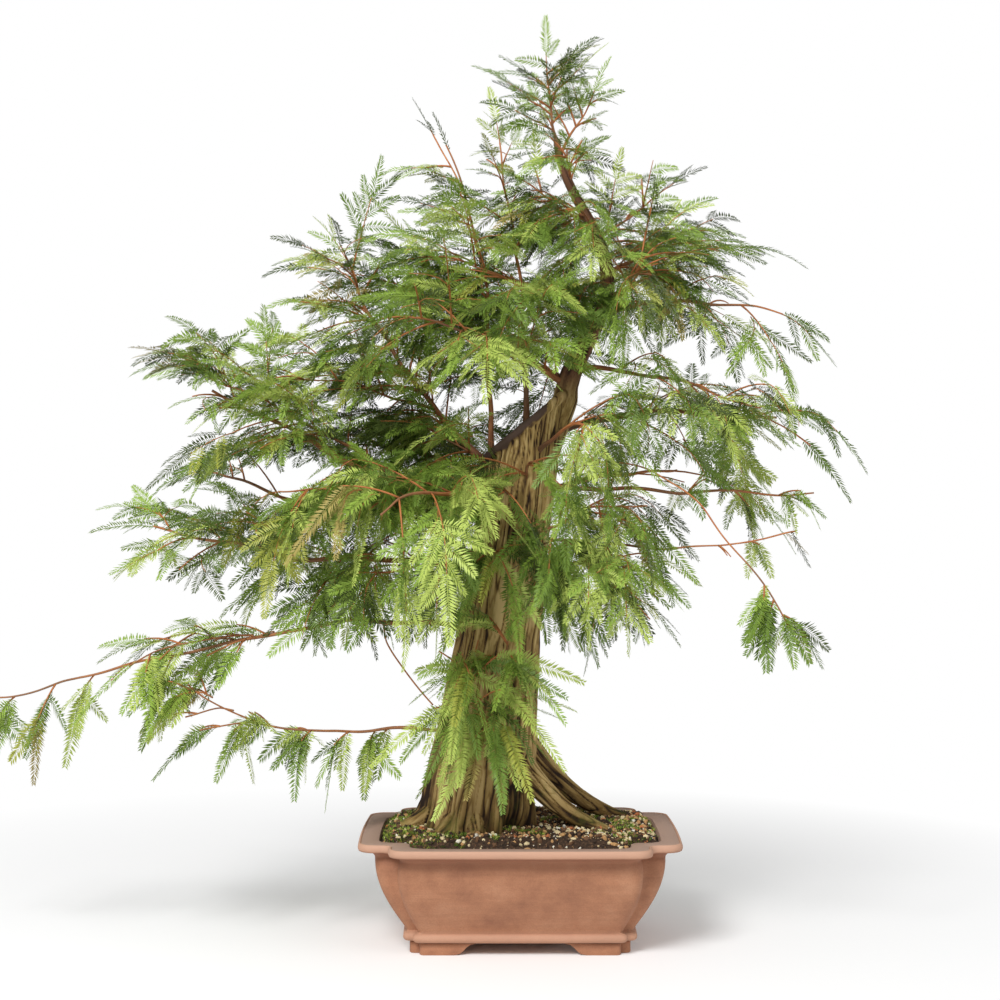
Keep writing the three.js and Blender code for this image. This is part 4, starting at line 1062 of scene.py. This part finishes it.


# Spray colours, from young to old and partly painted shade, and how often each is drawn in each part of the
# crown
tones = ["lime", "fresh", "leaf", "deep", "olive", "rust"]
# the deep and leaf greens are dulled towards brown as a painted shade inside the crown
toneColours = {"lime": "#a6b758", "fresh": "#839e3f", "leaf": "#627b2e", "deep": "#404e1f",
               "olive": "#959a40", "rust": "#988a4c"}
# the back and top draw more of the dark tones, a painted shade, and the front and low parts more of the
# light ones, a painted light
litAndShadedToneShares = {
    "front": [0.27, 0.34, 0.26, 0.09, 0.035, 0.005],
    "low": [0.42, 0.36, 0.16, 0.02, 0.035, 0.005],
    "top": [0.1, 0.3, 0.36, 0.2, 0.035, 0.005],
    "middle": [0.2, 0.34, 0.28, 0.14, 0.035, 0.005],
    "back": [0.05, 0.24, 0.4, 0.28, 0.025, 0.005],
}


def pickTone(index, random):
    shares = litAndShadedToneShares[allBranches[index]["tone"]]
    draw = random()
    for tone, share in zip(tones, shares):
        draw -= share
        if draw < 0:
            return tone
    return "leaf"


# One spray: flat needles in two ranks along a rib
needle = {
    "kinds": 5, "lengths": [46, 66, 94],  # as many shapes for each of these spray lengths
    "pitch": 2.35, "length": 13.5, "width": 1.8, "open": [70, 38], "openVary": 16, "turnOut": 0.14,
    "rib": 0.45, "ribSteps": 4, "bend": 0.1, "sweep": 0.16, "twist": 0.5,
    "shorter": [420, 760], "topShare": 0.72,  # between these heights needles shorten to this share
}


def sprayShape(long, seed):
    random = seeded(seed)
    bend = needle["bend"] * (random() * 1.4 - 0.4)
    twist = (random() - 0.5) * needle["twist"]
    sweep = (random() - 0.5) * needle["sweep"]  # the rib's own curve to one side
    count = int(long / needle["pitch"])
    steps = needle["ribSteps"]
    points, faces = [], []

    def rib(u):
        return np.array([long * u, sweep * long * u * u, -bend * long * u * u])

    for i in range(steps + 1):  # a three-sided rib, with two triangles to each of its faces
        size = needle["rib"] * (1 - 0.75 * i / steps)
        for k in range(3):
            turn = k * 2 * math.pi / 3
            points.append(rib(i / steps) + [0, size * math.cos(turn), size * math.sin(turn)])
    for i in range(steps):
        for k in range(3):
            a = i * 3 + k
            b = i * 3 + (k + 1) % 3
            faces += [[a, b, b + 3], [a, b + 3, a + 3]]
    for i in range(count + 1):  # each needle is a blade with its midrib raised
        u = (i + 0.4) / (count + 0.6)
        swell = min(1, 0.5 + 2.2 * u) * (1 - 0.62 * u ** 2.6)
        for side in (-1, 1):
            foot = rib(u + (random() - 0.5) * 0.012)
            length = needle["length"] * swell * (0.86 + 0.28 * random())
            opened = math.radians(mix(*needle["open"], u) + (random() - 0.5) * needle["openVary"])
            opened -= side * sweep * u
            lift = twist * side * 0.4 + needle["turnOut"] + (random() - 0.5) * 0.34
            ahead = np.array([math.cos(opened), side * math.sin(opened) * math.cos(lift),
                              math.sin(opened) * math.sin(lift)])
            wide = unit(np.cross(ahead, [0.0, 0.0, 1.0])) * needle["width"] / 2
            middle = foot + ahead * length * 0.4 + [0, 0, 0.4]
            tip = foot + ahead * length - [0, 0, 0.12 * length * random()]
            first = len(points)
            points += [foot, middle - wide, tip, middle + wide]
            order = [[0, 1, 3], [1, 2, 3]] if side > 0 else [[0, 3, 1], [1, 3, 2]]
            faces += [[first + k for k in face] for face in order]
    return np.array(points), np.array(faces)


# Needles are joined by tone and by these parts of the crown, each in the place of its masses
regions = {
    "LowerLeft": ["lower_left_long", "low_left", "left_low", "left_under", "front_left", "front_low",
                  "front"],
    "Left": ["left_mid", "left_back", "upper_left", "spire_left", "spire_mid", "front_upper"],
    "Top": ["apex_left", "apex_right", "apex_low", "apex_side", "right_top", "right_upper", "front_top"],
    "Right": ["right_mid", "right_branch", "right_long", "right_low", "right_trailing", "bottom_right",
              "right_front"],
    "Back": ["back_left", "back_right", "back_low", "back_upper", "back_top"],
}


def makeNeedles(sprays, materials):
    lengths = needle["lengths"]
    shapes = [[sprayShape(long, seeds["needles"] + 50 * i + k) for k in range(needle["kinds"])]
              for i, long in enumerate(lengths)]
    placed = {}
    for one in sprays:
        band = int(np.argmin([abs(math.log(one["length"] / long)) for long in lengths]))
        shape, faces = shapes[band][one["kind"]]
        size = one["length"] / lengths[band]
        across = np.cross(one["normal"], one["along"])
        high = np.interp(one["start"][2], needle["shorter"], [1, needle["topShare"]])
        turned = np.stack([one["along"] * size, across * mix(1, size, 0.5) * high, one["normal"] * size])
        points = shape @ turned + one["start"]
        points[:, 2] -= one["droop"] * one["length"] * (shape[:, 0] / lengths[band]) ** 2
        placed.setdefault((one["tone"], one["index"]), []).append((points, [faces]))
    for region, names in regions.items():
        nodes = ["needles_" + name for name in names]
        for tone in tones:
            shells = []
            for index, branch in enumerate(allBranches):
                if branch.get("within", branch["name"]) in names:
                    shells += placed.get((tone, index), [])
            if shells:
                makePiece("needles" + tone.title() + region, *joinShells(shells), materials[tone], "needle",
                          nodes, smooth=False)


def makeTwigs(twigs, material):
    shells = []
    for line, thick, thin in twigs:
        line = np.array(line)
        sizes = np.linspace(thick, thin, len(line))
        around = circle(turnsOf(4), *sidesOf(unit(line[-1] - line[0])))
        rings = line[:, None, :] + around[None] * sizes[:, None, None]
        shells.append((rings.reshape(-1, 3), cappedFaces(len(line), 4)))
    return makePiece("twigs", *joinShells(shells), material, "shoot")


def tipOf(side):
    return side["start"] + side["direction"] * side["length"]


def growCrown():
    twigs, sprays = [], []
    for index, branch in enumerate(allBranches):
        if branch["plain"]:  # a bare dead twig
            continue
        route = swayingRoute(branch, index)
        random = seeded(seeds["fronds"] + index)
        sides = [side for side in sideTwigs(branch, seeds["twigs"] + index, route)
                 if inOwnSpace(tipOf(side), index) and not clearOf(tipOf(side), space["gapRoom"])]
        items = spraysOf(branch, sides, seeds["sprays"] + index, route)
        if branch["fill"]:
            first = branch["bare"] * (1 if branch["single"] else branch["fillFrom"])
            more = sideTwigs(branch, seeds["moreTwigs"] + index, route, branch["fill"], first)
            for side in more:
                side["length"] *= twig["fillSize"]
            more = [side for side in more
                    if not inTrunk(tipOf(side)) and not clearOf(tipOf(side), space["gapRoom"])]
            items += spraysOf(branch, more, seeds["moreSprays"] + index, route)[1:]
            sides = sides + more
        for side in sides:
            sag = up * side["length"] * 0.08
            line = [side["start"] + side["direction"] * side["length"] * u + sag * (u - u * u) * 3
                    for u in np.linspace(0, 1, 6)]
            twigs.append((line, twig["radius"], twig["tip"]))
        for item in items:
            along, _ = bladeFrame(item)
            middle = item["start"] + along * spray["length"] * item["size"] * 0.42
            if apartFromStem(middle, index) < 1 and not inTrunk(middle) and not clearOf(middle):
                growFrond(item, index, random, twigs, sprays)
    return twigs, sprays


# Soil: a mound of damp dark mix, strewn with grit, with moss near the trunk
soil = {
    "atRim": 117, "ground": 130, "plateau": 0.86,  # heights, and how far out from the middle it is level
    "rings": 70, "bumps": 1.7, "strewnTo": 0.985,
}
grit = {
    "count": 6200, "least": 0.75, "most": 4.2, "power": 4, "kinds": 6,  # the power makes most stones small
    "colours": {"Dark": ("#37291f", 0.26), "Brown": ("#664a34", 0.25), "Tan": ("#b0885a", 0.19),
                "Cream": ("#cfbd94", 0.19), "Fired": ("#b06a42", 0.07), "Pale": ("#dcd6c6", 0.04)},
}


def soilHeight(share, x, y):  # share is 1 at the rim and 0 in the middle
    rise = np.clip((1 - share) / (1 - soil["plateau"]), 0, 1)
    height = mix(soil["atRim"], soil["ground"], np.sin(rise * math.pi / 2))
    rough = patches(x, y, 22, 0.3) * 1.3 + patches(x, y, 6, 4.1) + 0.5 * patches(x, y, 2.4, 9.7)
    return height + soil["bumps"] * rough * min(1, (1 - share) * 14)


def makeSoil(material):
    edge = hollow(soil["atRim"], 0.4)
    rings = [hollow(z, 0.4) * [0.97, 0.97, 1] for z in (92, 104)]
    for k in range(soil["rings"] + 1):
        share = 1 - (k / soil["rings"]) * 0.995
        ring = edge * [share, share, 1]
        ring[:, 2] = [soilHeight(share, x, y) for x, y, _ in ring.tolist()]
        rings.append(ring)
    faces = cappedFaces(len(rings), len(edge))
    return makePiece("soil", np.concatenate(rings), faces, material, "earth", ["soil"])


def gritShape(seed):  # a small angular stone of twenty faces
    random = seeded(seed)
    g = (1 + 5 ** 0.5) / 2  # the golden ratio, which gives the corners of an icosahedron
    corners = np.array([[-1, g, 0], [1, g, 0], [-1, -g, 0], [1, -g, 0], [0, -1, g], [0, 1, g],
                        [0, -1, -g], [0, 1, -g], [g, 0, -1], [g, 0, 1], [-g, 0, -1], [-g, 0, 1]], float)
    corners /= np.linalg.norm(corners[0])
    near = [[i, j, k] for i in range(12) for j in range(i + 1, 12) for k in range(j + 1, 12)
            if max(np.linalg.norm(corners[i] - corners[j]), np.linalg.norm(corners[j] - corners[k]),
                   np.linalg.norm(corners[i] - corners[k])) < 1.1]
    faces = []
    for i, j, k in near:
        outward = np.cross(corners[j] - corners[i], corners[k] - corners[i]).dot(corners[i]) > 0
        faces.append([i, j, k] if outward else [i, k, j])
    shape = corners * [[0.75 + 0.5 * random()] for _ in range(12)] * [1, 0.8, 0.62]
    return shape, np.array(faces)


def spinAbout(random):  # a turn to any side
    axis = unit(np.array([random() - 0.5, random() - 0.5, random() - 0.5]) + 1e-6)
    angle = random() * 2 * math.pi
    x, y, z = axis
    across = np.array([[0, -z, y], [z, 0, -x], [-y, x, 0]])
    return np.eye(3) + math.sin(angle) * across + (1 - math.cos(angle)) * (across @ across)


soilEdge = hollow(soil["atRim"], 1)


def onSoil(random):  # a spot between the pot's rim and the trunk
    while True:
        corner = soilEdge[int(random() * len(soilEdge))]
        share = random() ** 0.5 * soil["strewnTo"]
        x, y = corner[0] * share, corner[1] * share
        angle = math.atan2(y, x - trunk["footX"])
        if math.hypot(x - trunk["footX"], y) > trunkRadius(angle, trunk["ground"]) - 3:
            return share, x, y


def makeGrit(materials):
    random = seeded(seeds["grit"])
    shapes = [gritShape(seeds["stones"] + k) for k in range(grit["kinds"])]
    strewn = {kind: [] for kind in grit["colours"]}
    for _ in range(grit["count"]):
        share, x, y = onSoil(random)
        draw = random()
        for kind, (_, part) in grit["colours"].items():
            draw -= part
            if draw < 0:
                break
        size = grit["least"] + (grit["most"] - grit["least"]) * random() ** grit["power"]
        shape, faces = shapes[int(random() * grit["kinds"])]
        place = np.array([x, y, soilHeight(share, x, y) + 0.2 * size])
        strewn[kind].append((shape @ spinAbout(random) * size + place, [faces]))
    for kind, shells in strewn.items():
        makePiece("grit" + kind, *joinShells(shells), materials[kind], "earth", smooth=False)


moss = {
    "tufts": 1500, "blades": 14, "least": 1.4, "most": 4.4, "width": 0.9, "tuftRadius": 3.4,
    "from": 0.36,  # where the patches' noise and the shares below come to this, moss grows
    "byTrunk": 0.4, "trunkFall": 16, "left": (-60, 0.5), "right": (100, 0.3),  # x, and the share past it
}


def makeMoss(materials):
    random = seeded(seeds["moss"])
    piles = [([], []), ([], [])]
    leftFrom, leftShare = moss["left"]
    rightFrom, rightShare = moss["right"]
    made = 0
    while made < moss["tufts"]:
        share, x, y = onSoil(random)
        away = math.hypot(x - trunk["footX"], y) - trunk["waist"] - trunk["flare"]
        patch = patches(x, y, 34, 2.2) + 0.5 * patches(x, y, 11, 6.2)
        patch += moss["byTrunk"] * math.exp(-max(0, away) / moss["trunkFall"])
        patch += leftShare if x < leftFrom else rightShare if x > rightFrom else 0
        if patch < moss["from"]:
            continue
        made += 1
        points, faces = piles[int(random() * 2)]
        height = soilHeight(share, x, y)
        for _ in range(moss["blades"]):
            spin = random() * 2 * math.pi
            out = np.array([math.cos(spin), math.sin(spin), 0])
            foot = np.array([x, y, height - 0.3]) + out * moss["tuftRadius"] * random() ** 0.5
            long = mix(moss["least"], moss["most"], random())
            tip = foot + up * long * 0.8 + out * long * (0.2 + 0.6 * random())
            side = np.cross(out, up) * moss["width"] / 2
            first = len(points)
            points += [foot - side, foot + side, tip]
            faces.append([first, first + 1, first + 2])
    for name, (points, faces), material in zip(("mossLight", "mossDark"), piles, materials):
        makePiece(name, np.array(points), [np.array(faces)], material, "earth", smooth=False)


# Materials
# the rubbed colour is partly real wear and partly a painted highlight on the rim's face
clay = {"body": "#ac7758", "light": "#bd8a6a", "dark": "#93634a", "rubbedAndHighlit": "#ba927b",
        "dusty": "#a48b7d", "paintedCoveShade": "#8c5c45", "cloudMm": 45, "gritMm": 1.3, "wipeMm": 4.5, "bump": 0.3}


def makeClay():
    # unglazed stoneware, pressed in a mould and fired: a dry matt skin, softly clouded, with a fine grit
    material, tree, surface = newMaterial("unglazedStoneware", {"Roughness": 0.72, "IOR": 1.5,
                                                                "Specular IOR Level": 0.35})
    place = addNode(tree, "TexCoord").outputs["Object"]
    wornAndHighlit, lying, coveShadeMask = (addNode(tree, "Attribute", {"attribute_name": name}).outputs["Fac"]
                           for name in ("wornAndHighlit", "dusty", "paintedCoveShade"))
    clouds = addNode(tree, "TexNoise", {"Scale": scaleFor(clay["cloudMm"]), "Detail": 5, "Roughness": 0.62},
                     {"Vector": place})
    grains = addNode(tree, "TexNoise", {"Scale": scaleFor(clay["gritMm"]), "Detail": 3, "Roughness": 0.6},
                     {"Vector": place})
    colours = [(0.28, clay["dark"]), (0.5, clay["body"]), (0.74, clay["light"])]
    colour = addNode(tree, "ValToRGB", {"stops": colours}, {"Fac": clouds})
    speck = addNode(tree, "ValToRGB", {"stops": [(0.3, 0.78), (0.62, 1.0)]}, {"Fac": grains})
    level = addNode(tree, "Mapping", {"Scale": (0.06, 0.06, 1)}, {"Vector": place})  # wiped along its sides
    wiping = addNode(tree, "TexNoise", {"Scale": scaleFor(clay["wipeMm"]), "Detail": 3, "Roughness": 0.7},
                     {"Vector": level})
    wiped = addNode(tree, "ValToRGB", {"stops": [(0.35, 0.86), (0.65, 1.0)]}, {"Fac": wiping})
    for factor, pattern in ((0.8, speck), (0.75, wiped)):
        colour = addNode(tree, "Mix", {"data_type": "RGBA", "blend_type": "MULTIPLY", "Factor": factor},
                         {"A": colour, "B": pattern})
    patchy = addNode(tree, "MapRange", {}, {"Value": lying, "To Max": speck})
    # the cove under the rim takes a painted shade colour
    for share, kind in ((wornAndHighlit, "rubbedAndHighlit"), (patchy, "dusty"), (coveShadeMask, "paintedCoveShade")):
        colour = addNode(tree, "Mix", {"data_type": "RGBA", "B": toLinear(clay[kind])},
                         {"Factor": share, "A": colour})
    bump = addNode(tree, "Bump", {"Strength": clay["bump"], "Distance": 0.4 * mm}, {"Height": grains})
    join(tree, surface, {"Base Color": colour, "Normal": bump})
    return material


# the crack, ridge and pale colours, and the leader's three, are laid by the relief: partly the bark's own
# colours, partly painted shade and painted highlight
oldBark = {"crack": "#35271e", "base": "#765c3a", "ridge": "#ad8f58", "pale": "#d8bc82", "damp": "#8f8571",
           "leaderDark": "#35231c", "leaderBase": "#5c3f2f", "leaderLight": "#876047",
           "algae": "#8a8746", "mossy": "#5c6c2a", "cut": "#5f4d44",
           "hairMm": 1.6, "splitMm": 6, "blotchMm": 22, "tuftMm": 2.4}


def makeOldBark():
    # the trunk's soft fibrous bark, split into upright strips: tan on the ridges, purple-brown in the cracks
    material, tree, surface = newMaterial("fibrousCypressBark", {"Roughness": 0.88, "IOR": 1.45,
                                                                 "Specular IOR Level": 0.25})
    fibre = addNode(tree, "Attribute", {"attribute_name": "fibre"}).outputs["Vector"]
    relief, growth, sawn, youth, wet = (addNode(tree, "Attribute", {"attribute_name": name}).outputs["Fac"]
                                        for name in ("relief", "moss", "cut", "youth", "damp"))
    stretched = addNode(tree, "Mapping", {"Scale": (1, 1, 0.07)}, {"Vector": fibre})
    hairs = addNode(tree, "TexNoise", {"Scale": scaleFor(oldBark["hairMm"]), "Detail": 4, "Roughness": 0.65},
                    {"Vector": stretched})
    splits = addNode(tree, "TexNoise", {"noise_type": "RIDGED_MULTIFRACTAL", "Detail": 3, "Roughness": 0.5,
                                        "Scale": scaleFor(oldBark["splitMm"])}, {"Vector": stretched})
    blotches = addNode(tree, "TexNoise", {"Scale": scaleFor(oldBark["blotchMm"]), "Detail": 3},
                       {"Vector": fibre})
    mixed = addNode(tree, "Mix", {"data_type": "FLOAT", "Factor": 0.3}, {"A": relief, "B": hairs})
    # dark in the cracks and pale on the ridges: painted shade and painted highlight over the bark's own
    # tones
    older = [(0.3, oldBark["crack"]), (0.45, oldBark["base"]), (0.58, oldBark["ridge"]),
             (0.74, oldBark["pale"])]
    tint = addNode(tree, "ValToRGB", {"stops": older}, {"Fac": mixed})
    newer = [(0.28, oldBark["leaderDark"]), (0.5, oldBark["leaderBase"]), (0.78, oldBark["leaderLight"])]
    younger = addNode(tree, "ValToRGB", {"stops": newer}, {"Fac": mixed})
    aged = addNode(tree, "Mix", {"data_type": "RGBA"}, {"Factor": youth, "A": tint, "B": younger})
    shade = addNode(tree, "ValToRGB", {"stops": [(0.5, 1.0), (0.9, 0.42)]}, {"Fac": splits})
    split = addNode(tree, "Mix", {"data_type": "RGBA", "blend_type": "MULTIPLY", "Factor": 0.8},
                    {"A": aged, "B": shade})
    tufts = addNode(tree, "TexNoise", {"Scale": scaleFor(oldBark["tuftMm"]), "Detail": 3, "Roughness": 0.7},
                    {"Vector": fibre})
    grown = addNode(tree, "Mix", {"data_type": "FLOAT", "Factor": 0.45}, {"A": growth, "B": tufts})
    spread = addNode(tree, "ValToRGB", {"stops": [(0.42, 0.0), (0.8, 0.62)]}, {"Fac": grown})
    greens = addNode(tree, "ValToRGB", {"stops": [(0.35, oldBark["mossy"]), (0.65, oldBark["algae"])]},
                     {"Fac": blotches})
    greened = addNode(tree, "Mix", {"data_type": "RGBA"}, {"Factor": spread, "A": split, "B": greens})
    soaked = addNode(tree, "Mix", {"data_type": "RGBA", "blend_type": "MULTIPLY",
                                   "B": toLinear(oldBark["damp"])}, {"Factor": wet, "A": greened})
    bare = addNode(tree, "Mix", {"data_type": "RGBA", "B": toLinear(oldBark["cut"])},
                   {"Factor": sawn, "A": soaked})
    bump = addNode(tree, "Bump", {"Strength": 0.7, "Distance": 0.9 * mm}, {"Height": hairs})
    join(tree, surface, {"Base Color": bare, "Normal": bump})
    return material


youngBark = {"old": "#47342b", "oldLight": "#7a5b45", "young": "#965434", "youngLight": "#c8874f",
             "weathered": "#6f5843", "flakeMm": 2.2, "driftMm": 150}


def makeYoungBark():
    # thin flaking bark of the boughs: grey-brown where they are old, orange-brown towards the tips
    material, tree, surface = newMaterial("youngFlakingBark", {"Roughness": 0.72, "IOR": 1.45,
                                                               "Specular IOR Level": 0.35})
    fibre = addNode(tree, "Attribute", {"attribute_name": "fibre"}).outputs["Vector"]
    age = addNode(tree, "Attribute", {"attribute_name": "age"}).outputs["Fac"]
    stretched = addNode(tree, "Mapping", {"Scale": (1, 1, 0.16)}, {"Vector": fibre})
    flakes = addNode(tree, "TexNoise", {"Scale": scaleFor(youngBark["flakeMm"]), "Detail": 4,
                                        "Roughness": 0.6}, {"Vector": stretched})
    colours = [(0.35, youngBark["old"]), (0.7, youngBark["oldLight"])]
    older = addNode(tree, "ValToRGB", {"stops": colours}, {"Fac": flakes})
    colours = [(0.35, youngBark["young"]), (0.7, youngBark["youngLight"])]
    younger = addNode(tree, "ValToRGB", {"stops": colours}, {"Fac": flakes})
    drift = addNode(tree, "TexNoise", {"Scale": scaleFor(youngBark["driftMm"]), "Detail": 2},
                    {"Vector": fibre})
    greying = addNode(tree, "ValToRGB", {"stops": [(0.42, 0.0), (0.6, 0.8)]}, {"Fac": drift})
    weathered = addNode(tree, "Mix", {"data_type": "RGBA", "B": toLinear(youngBark["weathered"])},
                        {"Factor": greying, "A": younger})
    tint = addNode(tree, "Mix", {"data_type": "RGBA"}, {"Factor": age, "A": weathered, "B": older})
    bump = addNode(tree, "Bump", {"Strength": 0.5, "Distance": 0.4 * mm}, {"Height": flakes})
    join(tree, surface, {"Base Color": tint, "Normal": bump})
    return material


def makePlain(name, colour, roughness, gloss=0.3):  # needles, grit and moss: one even colour for each tone
    material, _, _ = newMaterial(name, {"Base Color": toLinear(colour), "Roughness": roughness,
                                        "Specular IOR Level": gloss})
    return material


soilMix = {"hollow": "#1c130e", "crumb": "#3f2e21", "dry": "#6b5039", "crumbMm": 3.2}


def makeSoilMaterial():
    # damp bark and peat mix: near black in the hollows, brown on the crumbs
    material, tree, surface = newMaterial("dampSoilMix", {"Roughness": 0.9, "Specular IOR Level": 0.3})
    place = addNode(tree, "TexCoord").outputs["Object"]
    crumbs = addNode(tree, "TexNoise", {"Scale": scaleFor(soilMix["crumbMm"]), "Detail": 5,
                                        "Roughness": 0.7}, {"Vector": place})
    colours = [(0.35, soilMix["hollow"]), (0.55, soilMix["crumb"]), (0.75, soilMix["dry"])]
    tint = addNode(tree, "ValToRGB", {"stops": colours}, {"Fac": crumbs})
    bump = addNode(tree, "Bump", {"Strength": 0.8, "Distance": 1.2 * mm}, {"Height": crumbs})
    join(tree, surface, {"Base Color": tint, "Normal": bump})
    return material


# Studio
studio = {
    "distance": 2150, "side": -22, "height": 510, "lens": 68.7, "sensor": 36, "down": 0.45,
    "paper": (0.94, 0.94, 0.94, 1), "floorRadius": 9000, "floorSides": 96,
    "fadeFrom": 160, "fadeTo": 1050, "skyLight": 0.42,
    "aim": 500,  # height that the lamps point at
    "key": {"place": (-1100, -2300, 2500), "size": 1200, "power": 114},
    "fill": {"place": (1900, -1500, 1500), "size": 1800, "power": 12},
}


def makeStudio():
    collection = bpy.context.scene.collection
    camera = bpy.data.objects.new("camera", bpy.data.cameras.new("camera"))
    camera.data.lens = studio["lens"]
    camera.data.sensor_width = studio["sensor"]
    camera.data.clip_end = 100  # metres
    place = np.array([studio["side"], -studio["distance"], studio["height"]]) * mm + potMiddle
    camera.location = place.tolist()
    camera.rotation_euler = (math.radians(90 - studio["down"]), 0, 0)
    collection.objects.link(camera)
    bpy.context.scene.camera = camera
    for name in ("key", "fill"):
        light = bpy.data.lights.new(name, "AREA")
        light.size = studio[name]["size"] * mm
        light.energy = studio[name]["power"]
        lamp = bpy.data.objects.new(name, light)
        place = np.array(studio[name]["place"]) * mm + potMiddle
        lamp.location = place.tolist()
        aim = Vector((potMiddle + up * studio["aim"] * mm - place).tolist())
        lamp.rotation_euler = aim.to_track_quat("-Z", "Y").to_euler()
        collection.objects.link(lamp)
    world = bpy.data.worlds.new("softbox")
    world.use_nodes = True
    tree = world.node_tree
    sky = tree.nodes["Background"]
    sky.inputs["Color"].default_value = (1, 1, 1, 1)
    seen = addNode(tree, "LightPath").outputs["Is Camera Ray"]  # white behind the plant, softer on it
    strength = addNode(tree, "MapRange", {"To Min": studio["skyLight"], "To Max": 1.0}, {"Value": seen})
    join(tree, sky, {"Strength": strength})
    bpy.context.scene.world = world
    bpy.context.scene.view_settings.view_transform = "Standard"
    makeFloor()


def makeFloor():
    # pale seamless paper, which fades into the light behind it
    material, tree, surface = newMaterial("palePaper", {"Base Color": studio["paper"], "Roughness": 0.95})
    place = addNode(tree, "TexCoord").outputs["Object"]
    away = addNode(tree, "VectorMath", {"operation": "LENGTH"}, {"Vector": place}).outputs["Value"]
    fade = addNode(tree, "MapRange", {"From Min": studio["fadeFrom"] * mm,
                                      "From Max": studio["fadeTo"] * mm}, {"Value": away})
    glow = addNode(tree, "Emission", {"Color": (1, 1, 1, 1), "Strength": 1.0})
    blend = addNode(tree, "MixShader", {}, {"Fac": fade})
    tree.links.new(surface.outputs["BSDF"], blend.inputs[1])
    tree.links.new(glow.outputs["Emission"], blend.inputs[2])
    output = next(node for node in tree.nodes if node.type == "OUTPUT_MATERIAL")
    join(tree, output, {"Surface": blend})
    turns = np.linspace(0, 2 * math.pi, studio["floorSides"], endpoint=False)
    ring = np.column_stack([np.cos(turns), np.sin(turns), 0 * turns]) * studio["floorRadius"]
    floor = makePiece("floor", ring, [np.arange(len(turns))[None, :]], material)


makeStudio()
print("studio set")
clayMaterial = makeClay()
makePot(clayMaterial)
makeFeet(clayMaterial)
print("pot made")
makeTrunk(makeOldBark())
print("trunk made")
makeBoughs(makeYoungBark())
print("boughs made")
crownTwigs, crownSprays = growCrown()
makeTwigs(crownTwigs, makePlain("orangeBrownTwig", "#ad6d3f", 0.6))
needleMaterials = {tone: makePlain("needle" + tone.title(), toneColours[tone], 0.5) for tone in tones}
makeNeedles(crownSprays, needleMaterials)
print("crown grown:", len(crownSprays), "sprays")
makeSoil(makeSoilMaterial())
makeGrit({kind: makePlain("grit" + kind, colour, 0.85) for kind, (colour, _) in grit["colours"].items()})
makeMoss([makePlain("mossLight", "#a6b64c", 0.8), makePlain("mossDark", "#5c7a2c", 0.8)])
print("soil laid")
